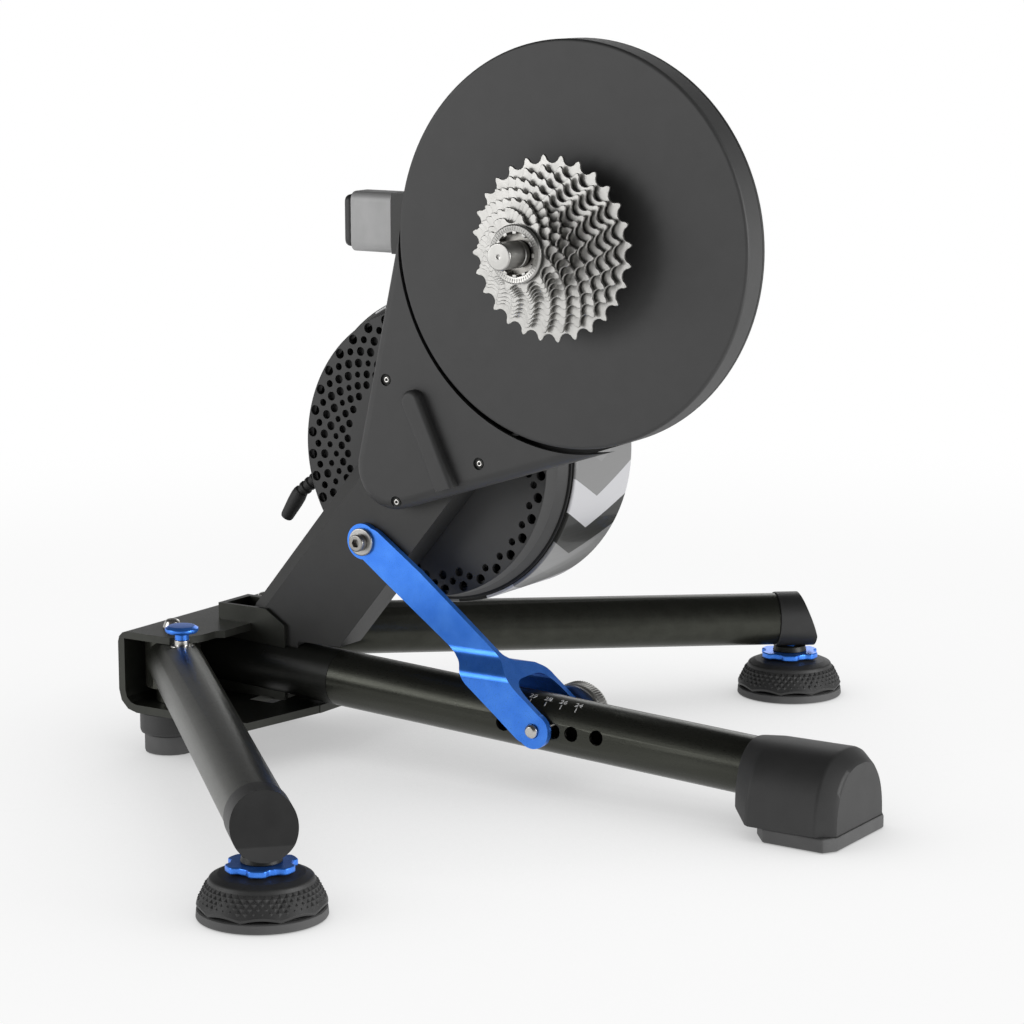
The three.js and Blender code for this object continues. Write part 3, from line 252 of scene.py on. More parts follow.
def world_light():
    """White to the eye, bright at eye height and dark overhead for what it lights."""
    world = bpy.data.worlds.new("studio")
    bpy.context.scene.world = world
    graph = empty_graph(world)
    x, y, rise = graph.split(graph.node("ShaderNodeTexCoord", output="Generated"))
    wall = graph.ranged(rise, CEILING_FROM, CEILING_TO, WALL_LIGHT, CEILING_LIGHT)
    toward = x * DARK_SIDE[0] + y * DARK_SIDE[1]
    wall = wall * graph.ranged(toward, DARK_FROM, DARK_TO, 1, 1 - DARK_SHARE)
    camera_ray = graph.node("ShaderNodeLightPath", output="Is Camera Ray")
    glass_ray = graph.node("ShaderNodeLightPath", output="Is Transmission Ray")
    seen = graph.math("MAXIMUM", camera_ray, glass_ray)
    strength = wall + seen * (1 - wall)
    light = graph.node("ShaderNodeBackground", None, {"Color": grey(1), "Strength": strength})
    graph.node("ShaderNodeOutputWorld", None, {"Surface": light})


world_light()
bpy.context.scene.view_settings.view_transform = "Standard"
print("light from the sides", WALL_LIGHT, "and from above", CEILING_LIGHT)


# %% Floor
FLOOR_REACH = 60
SHADOW_REACH = 0.7
SHADOW_FADE = 0.8
FLOOR_DROP = 0.0006
FLOOR_GLOW = 0.93
PAPER_TONE = 0.95
CONTACT_REACH = 0.3
CONTACT_DARK = 0.42


def floor_paper():
    material = bpy.data.materials.new("floor_paper")
    graph = empty_graph(material)
    x, y, z = graph.split(graph.node("ShaderNodeTexCoord", output="Object"))
    reach = graph.math("SQRT", x * x + y * y)
    fade = graph.ranged(reach, SHADOW_REACH, SHADOW_REACH + SHADOW_FADE)
    paper = graph.node("ShaderNodeBsdfDiffuse", None, {"Color": grey(PAPER_TONE)})
    white = graph.node("ShaderNodeEmission", None, {"Color": grey(1), "Strength": 1})
    open_sky = graph.node("ShaderNodeAmbientOcclusion", None, {"Distance": CONTACT_REACH}, "AO")
    contact = graph.mix(open_sky, grey(CONTACT_DARK), grey(1))
    shaded = graph.node("ShaderNodeEmission", None, {"Color": contact, "Strength": 1})
    near = graph.node("ShaderNodeMixShader", None, {0: FLOOR_GLOW, 1: paper, 2: shaded})
    surface = graph.node("ShaderNodeMixShader", None, {0: fade, 1: near, 2: white})
    graph.node("ShaderNodeOutputMaterial", None, {"Surface": surface})
    return material


floor_mesh = bpy.data.meshes.new("floor")
corners = [(-1, -1), (1, -1), (1, 1), (-1, 1)]
floor_places = [(x * FLOOR_REACH, y * FLOOR_REACH, -FLOOR_DROP) for x, y in corners]
floor_mesh.from_pydata(floor_places, [], [(0, 1, 2, 3)])
floor_mesh.materials.append(floor_paper())
floor = linked("floor", floor_mesh)
print("floor reaches", FLOOR_REACH, "m each way")


# %% Lamps
LAMP_AIM = (0, 0, 0.2)
LAMPS = [
    ("front_left", (-2.0, -2.3, 0.9), 1.8, 29),
    ("right", (2.7, 0.5, 0.7), 1.4, 46),
    ("rear", (-0.8, 2.6, 1.1), 1.6, 9),
]


def lamp(name, place, size, power):
    data = bpy.data.lights.new(name, "AREA")
    data.shape = "DISK"
    data.size = size
    data.energy = power
    aim = (Vector(LAMP_AIM) - Vector(place)).to_track_quat("-Z", "Y")
    linked(name, data).matrix_world = Matrix.Translation(place) @ aim.to_matrix().to_4x4()


for row in LAMPS:
    lamp(*row)
print(len(LAMPS), "lamps, the strongest of", max(power for *rest, power in LAMPS), "W")


# %% [markdown]
# ## Shapes in millimetres
# Most metal pieces are turned on a lathe or cut from plate, so two makers cover them: `turned`
# spins a profile round an axis, and `plate` gives an outline its thickness. Both work in
# millimetres, with the axle over the origin and the floor at zero. Blender's own cylinders could
# be stacked instead, but one profile holds every step and groove of a part in a single list.

# %% Meshes from points
WELD = 0.002
AXES = {"X": (1, 2, 0), "Y": (0, 2, 1), "Z": (0, 1, 2)}


def mesh_object(name, places, faces):
    mesh = bpy.data.meshes.new(name)
    mesh.from_pydata(places, [], faces)
    shape = bmesh.new()
    shape.from_mesh(mesh)
    bmesh.ops.remove_doubles(shape, verts=shape.verts, dist=WELD)
    bmesh.ops.dissolve_degenerate(shape, edges=shape.edges, dist=WELD)
    bmesh.ops.recalc_face_normals(shape, faces=shape.faces)
    shape.to_mesh(mesh)
    shape.free()
    return linked(name, mesh)


def set_point(axis, u, v, along):
    place = [0, 0, 0]
    for index, value in zip(AXES[axis], (u, v, along)):
        place[index] = value
    return place


print("points closer than", WELD, "mm become one")


# %% Turned and plate shapes
FINE = 96
MEDIUM = 48


def turned(name, profile, centre=(0, 0), axis="Y", steps=FINE):
    places = []
    for step in range(steps):
        angle = math.tau * step / steps
        for radius, along in profile:
            u = centre[0] + radius * math.cos(angle)
            v = centre[1] + radius * math.sin(angle)
            places.append(set_point(axis, u, v, along))
    count = len(profile)
    faces = []
    for step in range(steps):
        here, there = step * count, (step + 1) % steps * count
        for i in range(count):
            j = (i + 1) % count
            faces.append((here + i, here + j, there + j, there + i))
    return mesh_object(name, places, faces)


def plate(name, outline, low, high, axis="Y"):
    count = len(outline)
    places = [set_point(axis, u, v, along) for along in (low, high) for u, v in outline]
    faces = [tuple(range(count)), tuple(range(count, 2 * count))]
    for i in range(count):
        j = (i + 1) % count
        faces.append((i, j, count + j, count + i))
    return mesh_object(name, places, faces)


def box_shape(name, low, high):
    outline = [(low[0], low[1]), (high[0], low[1]), (high[0], high[1]), (low[0], high[1])]
    return plate(name, outline, low[2], high[2], "Z")


print("shapes are turned in", FINE, "steps")


# %% Arcs and rounded corners
STRAIGHT = math.radians(88)
CORNER_SHARE = 0.49


def arc(centre, radius, start, end, steps):
    angles = [math.radians(start + (end - start) * i / steps) for i in range(steps + 1)]
    return [(centre[0] + radius * math.cos(a), centre[1] + radius * math.sin(a)) for a in angles]


def rounded(points, radius, steps=6):
    """Rounds the corners of a closed outline; radius is one number or one for each corner."""
    radii = radius if isinstance(radius, (list, tuple)) else [radius] * len(points)
    result = []
    for i, point in enumerate(points):
        here = Vector(point)
        before = Vector(points[i - 1]) - here
        after = Vector(points[(i + 1) % len(points)]) - here
        half = before.angle(after) / 2
        if radii[i] <= 0 or half > STRAIGHT:
            result.append(tuple(here))
            continue
        longest = min(before.length, after.length) * CORNER_SHARE
        reach = min(radii[i] / math.tan(half), longest)
        start = here + before.normalized() * reach
        end = here + after.normalized() * reach
        for step in range(steps + 1):
            share = step / steps
            first = start.lerp(here, share)
            result.append(tuple(first.lerp(here.lerp(end, share), share)))
    return result


print("a square of 4 corners, rounded:", len(rounded([(0, 0), (9, 0), (9, 9), (0, 9)], 1)), "points")


# %% [markdown]
# ## Edges, cuts and joins
# Real edges are never sharp, and holes are drilled after a part is cast. Modifiers do the same
# here: Bevel breaks the edges and Boolean cuts or joins. Live modifiers would be worked out again
# at every change, so each shape is settled into a plain mesh as soon as it is done.

# %% Edges, cuts and joins
def bevelled(made, width, segments=3, angle=40):
    bevel = made.modifiers.new("edges", "BEVEL")
    bevel.width = width
    bevel.segments = segments
    bevel.limit_method = "ANGLE"
    bevel.angle_limit = math.radians(angle)
    return made


def settle(made):
    graph = bpy.context.evaluated_depsgraph_get()
    mesh = bpy.data.meshes.new_from_object(made.evaluated_get(graph))
    made.modifiers.clear()
    old, made.data = made.data, mesh
    bpy.data.meshes.remove(old)
    return made


def combined(made, tools, operation):
    for tool in tools:
        change = made.modifiers.new("change", "BOOLEAN")
        change.operation = operation
        change.solver = "EXACT"
        change.object = tool
    settle(made)
    for tool in tools:
        bpy.data.objects.remove(tool)
    return made


def cut(made, *tools):
    return combined(made, tools, "DIFFERENCE")


def joined(made, *tools):
    return combined(made, tools, "UNION")


def together(name, pieces):
    """One object from several that may overlap, kept as separate shells."""
    shape = bmesh.new()
    for piece in pieces:
        shape.from_mesh(settle(piece).data)
        bpy.data.objects.remove(piece)
    mesh = bpy.data.meshes.new(name)
    shape.to_mesh(mesh)
    shape.free()
    return linked(name, mesh)


trial = settle(bevelled(box_shape("trial", (0, 0, 0), (9, 9, 9)), 1, 3))
print("a box with its edges broken has", len(trial.data.polygons), "faces")
bpy.data.objects.remove(trial)


# %% [markdown]
# ## Finished pieces
# A finished piece has its true size and place in its mesh, smooth shading that stops at its
# edges, and a body of the frame that it rides on. Its normals are weighted by area, because plain
# smooth shading would bend the light on a flat face next to a narrow bevel.

# %% Finished pieces
def finish_piece(made, body, material, replaces=(), smooth=32):
    """Scales a shape to metres, shades it and gives it its body and what it replaces."""
    settle(made)
    mesh = made.data
    mesh.transform(Matrix.Translation(SHIFT) @ Matrix.Scale(MM, 4))
    mesh.shade_smooth()
    mesh.set_sharp_from_angle(angle=math.radians(smooth))
    mesh.materials.clear()
    mesh.materials.append(material)
    even = made.modifiers.new("even", "WEIGHTED_NORMAL")
    even.keep_sharp = True
    settle(made)
    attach(made, body)
    if replaces:
        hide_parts(*replaces)
    return made


def node_box(name):
    """A node's corners in millimetres from the axle."""
    low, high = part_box(name)
    return (low - SHIFT) / MM, (high - SHIFT) / MM


def middle_of(node, axis="Z"):
    """The middle of a node's box, seen along an axis."""
    low, high = node_box(node)
    u, v = AXES[axis][:2]
    return ((low[u] + high[u]) / 2, (low[v] + high[v]) / 2)


print("the round cover's middle:", tuple(round(value) for value in middle_of("drum_cover", "Y")))


# %% [markdown]
# ## Finishes
# None of these surfaces is one even colour. Moulded plastic has a fine grain, anodised tube shows
# faint lengthwise drawing lines, and cast or painted parts are mottled. Pictures of each surface
# could be wrapped round it, but they have seams and blur close up. So each finish mixes two close
# tones by noise, and lets roughness and a small bump follow.

# %% A finish
MATERIALS = {}
BUMP_STRENGTH = 0.6


class Finish(Graph):
    """A material whose noise is measured in millimetres on the real object."""

    def __init__(self, name):
        material = bpy.data.materials.new(name)
        material.use_nodes = True
        super().__init__(material.node_tree)
        self.material = material
        self.shader = material.node_tree.nodes["Principled BSDF"]
        MATERIALS[name] = material

    def place(self, stretch=(1, 1, 1), centre=(0, 0, 0)):
        object_place = self.node("ShaderNodeTexCoord", output="Object")
        back = tuple(-value * MM for value in centre)
        moved = self.node("ShaderNodeMapping", None, {"Vector": object_place, "Location": back})
        return self.node("ShaderNodeMapping", None, {"Vector": moved, "Scale": stretch})

    def noise(self, size, stretch, detail):
        inputs = {"Vector": self.place(stretch), "Scale": 1 / (size * MM), "Detail": detail}
        return self.node("ShaderNodeTexNoise", None, inputs)

    def set(self, **values):
        for key, value in values.items():
            self.feed(self.shader.inputs[key.replace("_", " ")], value)

    def bump(self, height, depth):
        inputs = {"Height": height, "Distance": depth * MM, "Strength": BUMP_STRENGTH}
        return self.node("ShaderNodeBump", None, inputs)


print("a finish adds to a graph:", [name for name in vars(Finish) if not name.startswith("_")])


# %% Two close tones
WIDE_GRAIN = 24
WIDE_SHARE = 0.7
GRAIN_LOW, GRAIN_HIGH = 0.3, 0.7


def surface(name, dark, light, metallic, roughness, grain, depth, stretch=(1, 1, 1)):
    """Two close tones mixed by a wide noise, with a fine grain in roughness and bump."""
    made = Finish(name)
    wide = made.noise(grain * WIDE_GRAIN, stretch, 2)
    fine = made.noise(grain, stretch, 4)
    tones = [(GRAIN_LOW, linear(dark)), (GRAIN_HIGH, linear(light))]
    tone = made.ramp(wide * WIDE_SHARE + fine * (1 - WIDE_SHARE), tones)
    shine = made.ranged(fine, GRAIN_LOW, GRAIN_HIGH, *roughness, "LINEAR")
    made.set(Base_Color=tone, Roughness=shine, Metallic=metallic)
    made.set(Normal=made.bump(fine, depth))


surface("case_paint", "#353535", "#393939", 0, (0.5, 0.58), 0.5, 0.012)
surface("arm_paint", "#272726", "#2c2c2b", 0, (0.42, 0.55), 0.6, 0.02)
surface("tube_black", "#3a3b35", "#454640", 0.8, (0.26, 0.38), 0.35, 0.008, (0.12, 1, 1))
surface("hub_black", "#353632", "#3f403b", 0.6, (0.3, 0.42), 0.6, 0.02)
surface("blue_anodised", "#3c82f2", "#4f95ff", 0.7, (0.26, 0.36), 0.4, 0.008)
surface("handle_grey", "#a0a0a0", "#acacac", 0.1, (0.42, 0.5), 0.5, 0.012)
surface("dark_plastic", "#262626", "#2e2e2e", 0, (0.42, 0.52), 0.5, 0.015)
surface("foot_plastic", "#303030", "#373737", 0, (0.5, 0.6), 0.6, 0.02)
surface("pad_grey", "#545454", "#5e5e5e", 0, (0.68, 0.8), 0.7, 0.03)
surface("black_rubber", "#161616", "#1f1f1f", 0, (0.5, 0.65), 0.5, 0.02)
surface("steel_bright", "#c2c0bc", "#d6d4d0", 1, (0.22, 0.34), 0.3, 0.006)
surface("steel_grey", "#8c8a86", "#a3a19c", 1, (0.3, 0.42), 0.3, 0.008)
surface("nickel", "#a3a29f", "#b6b5b2", 1, (0.28, 0.4), 0.35, 0.008)
surface("cast_core", "#3a3a38", "#4c4b48", 0.6, (0.45, 0.6), 0.8, 0.03)
surface("socket_black", "#1a1b18", "#252622", 0.3, (0.4, 0.5), 0.5, 0.015)
print(len(MATERIALS), "finishes so far")


# %% [markdown]
# ## Repeats by Geometry Nodes
# Knurling, notches and ridges repeat round a ring. A loop or an Array modifier could copy them,
# but one node tree with named inputs serves every ring. It sets copies of a small template on a
# circle: each point's angle comes from its index, and the same angle turns its copy outwards.

# %% Trees and their inputs
def new_tree(name, inputs):
    tree = bpy.data.node_groups.new(name, "GeometryNodeTree")
    for label, kind in inputs:
        tree.interface.new_socket(label, in_out="INPUT", socket_type="NodeSocket" + kind)
    tree.interface.new_socket("Geometry", in_out="OUTPUT", socket_type="NodeSocketGeometry")
    graph = Graph(tree)
    entry = tree.nodes.new("NodeGroupInput")
    ports = {label: Wire(graph, entry.outputs[label]) for label, kind in inputs}
    return tree, graph, ports


def mesh_of(graph, source):
    """The geometry of an object that is one of the tree's inputs."""
    settings = {"transform_space": "ORIGINAL"}
    return graph.node("GeometryNodeObjectInfo", settings, {0: source}, "Geometry")


def close_tree(graph, geometry, material):
    plain = graph.node("GeometryNodeRealizeInstances", None, {"Geometry": geometry})
    dressed = graph.node("GeometryNodeSetMaterial", None, {"Geometry": plain, "Material": material})
    leave = graph.tree.nodes.new("NodeGroupOutput")
    graph.feed(leave.inputs[0], dressed)


def grown(name, tree, values):
    """Runs a tree once with these inputs and keeps its result as a plain mesh."""
    made = linked(name, bpy.data.meshes.new(name))
    grow = made.modifiers.new("grow", "NODES")
    grow.node_group = tree
    for item in tree.interface.items_tree:
        if item.in_out == "INPUT":
            grow[item.identifier] = values[item.name]
    return settle(made)


print("node groups so far:", len(bpy.data.node_groups))


# %% Copies round a ring
RING_INPUTS = [
    ("Template", "Object"),
    ("Count", "Int"),
    ("Radius", "Float"),
    ("Height", "Float"),
    ("Phase", "Float"),
    ("Lean", "Float"),
    ("Finish", "Material"),
]


def ring_tree():
    tree, graph, port = new_tree("copies_round_a_ring", RING_INPUTS)
    index = graph.node("GeometryNodeInputIndex")
    angle = index / port["Count"] * math.tau + port["Phase"]
    place = graph.node("ShaderNodeCombineXYZ", None, {
        0: graph.math("COSINE", angle) * port["Radius"],
        1: graph.math("SINE", angle) * port["Radius"],
        2: port["Height"],
    })
    points = graph.node("GeometryNodePoints", None, {"Count": port["Count"], "Position": place})
    turn = graph.node("ShaderNodeCombineXYZ", None, {1: port["Lean"], 2: angle})
    turn = graph.node("FunctionNodeEulerToRotation", None, {0: turn})
    shape = mesh_of(graph, port["Template"])
    inputs = {"Points": points, "Instance": shape, "Rotation": turn}
    copies = graph.node("GeometryNodeInstanceOnPoints", None, inputs)
    close_tree(graph, copies, port["Finish"])
    return tree


RING_TREE = ring_tree()


def ring_of(name, template, count, radius, height, material, phase=0, lean=0):
    values = {
        "Template": template,
        "Count": count,
        "Radius": float(radius),
        "Height": float(height),
        "Phase": float(phase),
        "Lean": float(lean),
        "Finish": MATERIALS[material],
    }
    return grown(name, RING_TREE, values)


def stand(made, centre):
    """Moves a shape made round the Z axis to its place and turns it to lie round Y."""
    turn = Matrix.Rotation(math.radians(90), 4, "X")
    made.data.transform(Matrix.Translation(centre) @ turn)
    return made


print("ring tree has", len(RING_TREE.nodes), "nodes")


# %% [markdown]
# ## Plain copies
# A cut or welded part already has its true shape in the frame, so drawing it again would only
# add mistakes. A copy of its mesh is merged, its flat areas are made one face each, and a narrow
# bevel breaks every sharp edge, as a file or a coat of paint does on the real part, so the edges
# catch the light.

# %% Dressed copies
FLAT = math.radians(1)
BODIES = frame["record"]["behaviour"]["bodies"]
BODY_OF = {node: body for body, nodes in BODIES.items() for node in nodes}


def copy_of(node):
    shape = bmesh.new()
    shape.from_mesh(frame["nodes"][node].data)
    shape.transform(Matrix.Scale(1 / MM, 4) @ Matrix.Translation(-SHIFT))
    bmesh.ops.remove_doubles(shape, verts=shape.verts, dist=WELD)
    bmesh.ops.dissolve_limit(shape, angle_limit=FLAT, verts=shape.verts, edges=shape.edges)
    mesh = bpy.data.meshes.new(node + "_dressed")
    shape.to_mesh(mesh)
    shape.free()
    return linked(node + "_dressed", mesh)


def stands_for(made, node, material, smooth=32):
    """Finishes a piece that takes the place and the body of one node."""
    return finish_piece(made, BODY_OF[node], MATERIALS[material], [node], smooth)


def dress(node, material, edge=0.6, segments=2, angle=40, smooth=32):
    made = bevelled(copy_of(node), edge, segments, angle)
    return stands_for(made, node, material, smooth)


print(len(BODY_OF), "nodes to dress")


# %% [markdown]
# ## Round cover
# The cover of the large belt pulley is a shallow moulded cup. A bevelled cylinder would do for
# its outside, but turning its profile gives the wall and the inside as well, in many steps for a
# clean circle, and the profile's outer corner is rounded so that the rim takes a soft light. The
# belt leaves through an opening in its wall, cut here too.

# %% Round cover
AXLE_Z = 362
AXLE = (0, AXLE_Z)
DISC_RADIUS = 128.8
DISC_WALL = 2.5
DISC_HOLE = 25
DISC_STEPS = 160
PASSAGE_RADII = (106, 18)
CORNER = (-141.8, 207.1)
CORNER_RADIUS = 28
WHEEL = (-143.7, 211.5)
DISC_FACE = node_box("drum_cover")[0].y
CASE_BACK = node_box("drum_cover")[1].y


def case_outline(large, small, small_centre):
    """Two circles and the straight edges that touch both, seen along the axle."""
    reach = Vector(small_centre) - Vector(AXLE)
    heading = math.degrees(math.atan2(reach.y, reach.x))
    spread = math.degrees(math.acos((large - small) / reach.length))
    corner = arc(small_centre, small, heading - spread, heading + spread, FINE // 4)
    return corner + arc(AXLE, large, heading + spread, heading - spread + 360, FINE)


def make_disc():
    inner = DISC_RADIUS - DISC_WALL
    back = DISC_FACE + DISC_WALL
    profile = [
        (DISC_HOLE, DISC_FACE),
        (DISC_RADIUS, DISC_FACE),
        (DISC_RADIUS, CASE_BACK),
        (inner, CASE_BACK),
        (inner, back),
        (DISC_HOLE, back),
    ]
    profile = rounded(profile, [0.4, 2.4, 0.5, 0.4, 1.5, 0.4])
    made = turned("round_cover", profile, AXLE, steps=DISC_STEPS)
    passage = plate("passage", case_outline(*PASSAGE_RADII, WHEEL), back + 0.3, CASE_BACK + 3)
    return cut(made, passage)


disc = stands_for(make_disc(), "drum_cover", "case_paint")
print("round cover", len(disc.data.polygons), "faces")


# %% [markdown]
# ## Side cover
# The belt runs down to the flywheel's shaft under a second cover, which wraps the round one with
# a narrow dark groove between them. Its outline is two circles with straight edges, its front
# edge is a wide soft fillet, and a long raised bead and three sunk screws sit on its face. It
# could be modelled as one surface, but a plate that is hollowed and cut keeps every edge exact.

# %% Side cover
COVER_RADIUS = 131.7
GROOVE_RADIUS = 132.8
COVER_WALL = 2.5
COVER_FILLET = 8
COVER_FACE = -26
BEAD_TOP = (-119.1, 254.8)
BEAD_BOTTOM = (-84, 180)
BEAD_WIDTH = 14.5
BEAD_RISE = 8
BEAD_TRIM = 5
SCREW_PLACES = [(-143, 266.5), (-70.1, 217), (-135.9, 185.4)]
SCREW_RECESS = 4.1
SCREW_SINK = 2
SHANK_HOLE = 2.2
ROOM = 20


def bead_outline():
    lean = Vector(BEAD_TOP) - Vector(BEAD_BOTTOM)
    heading = math.degrees(math.atan2(lean.y, lean.x))
    half = BEAD_WIDTH / 2
    top = arc(BEAD_TOP, half, heading - 90, heading + 90, 16)
    return top + arc(BEAD_BOTTOM, half, heading + 90, heading + 270, 16)


def inset_outline(inset):
    """The side cover's outline, moved inwards."""
    return case_outline(COVER_RADIUS - inset, CORNER_RADIUS - inset, CORNER)


def drill(radius, place, near, far, steps=24):
    return turned("drill", [(0, near), (radius, near), (radius, far), (0, far)], place, steps=steps)


def make_side_cover():
    before, behind = COVER_FACE - ROOM, CASE_BACK + ROOM
    shell = plate("side_cover_shell", inset_outline(0), COVER_FACE, behind)
    settle(bevelled(shell, COVER_FILLET, 6, 60))
    bead = plate("bead", bead_outline(), COVER_FACE - BEAD_RISE, COVER_FACE + COVER_WALL)
    settle(bevelled(bead, 3, 5, 60))
    trim = plate("trim", inset_outline(BEAD_TRIM), before, COVER_FACE + ROOM)
    made = joined(shell, combined(bead, [trim], "INTERSECT"))
    hollow = plate("hollow", inset_outline(COVER_WALL), COVER_FACE + COVER_WALL, behind + 1)
    settle(bevelled(hollow, COVER_FILLET - 2, 4, 60))
    back = box_shape("back", (-400, CASE_BACK, 0), (400, behind + 2, 700))
    groove = drill(GROOVE_RADIUS, AXLE, before, behind + 3, DISC_STEPS)
    seat = COVER_FACE + SCREW_SINK
    recesses = [drill(SCREW_RECESS, place, before, seat) for place in SCREW_PLACES]
    shanks = [drill(SHANK_HOLE, place, before, behind) for place in SCREW_PLACES]
    return cut(made, hollow, back, groove, *recesses, *shanks)


side_cover = stands_for(make_side_cover(), "side_cover", "case_paint")
print("side cover", len(side_cover.data.polygons), "faces")


# %% [markdown]
# ## Back plate and cover screws
# The plate behind both covers carries the belt case on the arm; only its edge and its back show.
# The three screws are alike, so one is turned with its hexagon socket and Geometry Nodes sets a
# copy on each place, which keeps them alike. A bright steel ring round each socket is a painted
# highlight on the socket's lip.

# %% Back plate
PLATE_LOW, PLATE_HIGH = node_box("belt_case")
BEARING_HOLE = 7.9
PULLEY_HOLE = 9.6


def make_plate():
    outline = case_outline(DISC_RADIUS, CORNER_RADIUS, CORNER)
    made = plate("back_plate", outline, PLATE_LOW.y, PLATE_HIGH.y)
    settle(bevelled(made, 0.5, 2, 60))
    holes = [
        drill(BEARING_HOLE, AXLE, -ROOM, 0, MEDIUM),
        drill(PULLEY_HOLE, WHEEL, -ROOM, 0, MEDIUM),
    ]
    holes += [drill(SHANK_HOLE, place, -ROOM, 0) for place in SCREW_PLACES]
    return cut(made, *holes)


stands_for(make_plate(), "belt_case", "arm_paint")
print("back plate", round(PLATE_HIGH.y - PLATE_LOW.y, 1), "mm thick")


# %% A socket screw and its lip
SCREW_HEAD = 3
SCREW_RISE = 0.8
SCREW_END = 15.5


def socket_screw():
    """A round screw head with a hexagon socket, its top towards -Z, its shank up the Z axis."""
    head = rounded([(0, -SCREW_RISE), (SCREW_HEAD, -SCREW_RISE), (SCREW_HEAD, 0)], [0, 0.6, 0], 4)
    shank = [(1.8, 0), (1.8, SCREW_END), (0, SCREW_END)]
    made = turned("socket_screw", head + shank, axis="Z", steps=MEDIUM)
    socket = turned("socket", [(0, -2.5), (1.7, -2.5), (1.7, -0.5), (0, -0.5)], axis="Z", steps=6)
    return cut(made, socket)


def socket_ring():
    """A bright steel ring on the lip of the screw's socket, a painted highlight."""
    top = -SCREW_RISE - 0.3
    lip = [(1.05, top), (1.75, top), (1.75, -0.6), (1.05, -0.6)]
    return turned("socket_ring", rounded(lip, 0.15, 2), axis="Z", steps=24)


print("screw heads are", 2 * SCREW_HEAD, "mm across")


# %% Copies on the cover
SCREW_NODES = ["cover_screw_upper", "cover_screw_lower", "cover_screw_corner"]
SCREW_FACE = COVER_FACE + SCREW_SINK - 0.1
PLACES_INPUTS = [("Template", "Object"), ("Places", "Object"), ("Finish", "Material")]


def places_tree():
    tree, graph, port = new_tree("copies_on_places", PLACES_INPUTS)
    inputs = {"Points": mesh_of(graph, port["Places"]), "Instance": mesh_of(graph, port["Template"])}
    copies = graph.node("GeometryNodeInstanceOnPoints", None, inputs)
    close_tree(graph, copies, port["Finish"])
    return tree


PLACES_TREE = places_tree()


def on_cover(name, template, material, nodes=()):
    """Copies of a template on the cover's screw places, their Z axis turned to the cover's depth."""
    spots = linked("spots", bpy.data.meshes.new("spots"))
    spots.data.from_pydata([(x, z, 0) for x, z in SCREW_PLACES], [], [])
    values = {"Template": template, "Places": spots, "Finish": MATERIALS[material]}
    made = grown(name, PLACES_TREE, values)
    bpy.data.objects.remove(spots)
    bpy.data.objects.remove(template)
    made.data.transform(Matrix(((1, 0, 0, 0), (0, 0, 1, SCREW_FACE), (0, 1, 0, 0), (0, 0, 0, 1))))
    made.data.flip_normals()
    return finish_piece(made, "base", MATERIALS[material], nodes)


cover_screws = on_cover("cover_screws", socket_screw(), "socket_black", SCREW_NODES)
# The bright rings are a painted highlight on the lip of each socket.
on_cover("cover_screw_lips", socket_ring(), "steel_bright")
print("cover screws", len(cover_screws.data.polygons), "faces")


# %% [markdown]
# ## Cassette
# Eleven stamped cogs sit on the freehub. A roller chain sets their shape: the gaps between teeth
# are round seats a little wider than a chain roller, half an inch apart along the pitch circle,
# and the teeth between them are short and pointed. Each outline could be drawn by hand, but one
# function that follows the chain draws a cog of any tooth count. Each cog is turned a little from
# the last, so the seats line up in curved rows, and dark carriers stand between them.

# %% Outline of a cog
CHAIN_PITCH = 12.7
SEAT_RADIUS = 4.9
SEAT_DEPTH = 3.3
TOOTH_RISE = 1.8
SEAT_BENDS = (-74, -50, -25, 0, 25, 50, 74)
TIP_SHARES = (0.46, 0.54)


def cog_outline(teeth, turn):
    """The outline of a cog with the seat between two teeth turned to one angle, in degrees."""
    pitch = CHAIN_PITCH / (2 * math.sin(math.pi / teeth))
    step = math.tau / teeth
    points = []
    for tooth in range(teeth):
        middle = tooth * step + math.radians(turn)
        along = Vector((math.cos(middle), math.sin(middle)))
        across = Vector((-along.y, along.x))
        for bend in SEAT_BENDS:
            angle = math.radians(bend)
            seat = along * (pitch - SEAT_DEPTH + SEAT_RADIUS * (1 - math.cos(angle)))
            points.append(seat + across * SEAT_RADIUS * math.sin(angle))
        for share in TIP_SHARES:
            angle = middle + step * share
            points.append(Vector((math.cos(angle), math.sin(angle))) * (pitch + TOOTH_RISE))
    return [(x, z + AXLE_Z) for x, z in points]


print("a cog of 11 teeth has", len(cog_outline(11, 0)), "points")


# %% Cassette
COG_WIDTH = 1.8
COG_STEP = 3.75
COG_BORE = 17.6
COG_COUNT = 11
TURN_FRONT = -94
TURN_BACK = -117
CASSETTE_BACK = node_box("cog_cluster_large")[1].y
CLUSTERS = [
    ("cog_cluster_large", [28, 25, 23, 21], 26),
    ("cog_cluster_mid", [19, 17, 15], 22.5),
    ("cog_14", [14], 19.6),
    ("cog_13", [13], 19.2),
    ("cog_12", [12], 18.8),
    ("cog_11", [11], 18.3),
]


def make_cluster(name, teeth_list, carrier, back):
    front = back - COG_STEP * len(teeth_list) + 0.3
    shells = []
    for index, teeth in enumerate(teeth_list):
        inner = back - COG_STEP * index
        depth = (CASSETTE_BACK - inner) / COG_STEP / (COG_COUNT - 1)
        turn = TURN_BACK + (TURN_FRONT - TURN_BACK) * depth
        cog = plate("cog", cog_outline(teeth, turn), inner - COG_WIDTH, inner)
        cog = cut(cog, drill(COG_BORE, AXLE, inner - 9, inner + 9, MEDIUM))
        shells.append(bevelled(cog, 0.28, 1, 50))
    end = back - 0.1
    profile = [(COG_BORE, front), (carrier, front), (carrier, end), (COG_BORE, end)]
    core = turned(name + "_carrier", rounded(profile, 0.3, 2), AXLE)
    finish_piece(core, "cassette", MATERIALS["socket_black"])
    return together(name + "_teeth", shells)


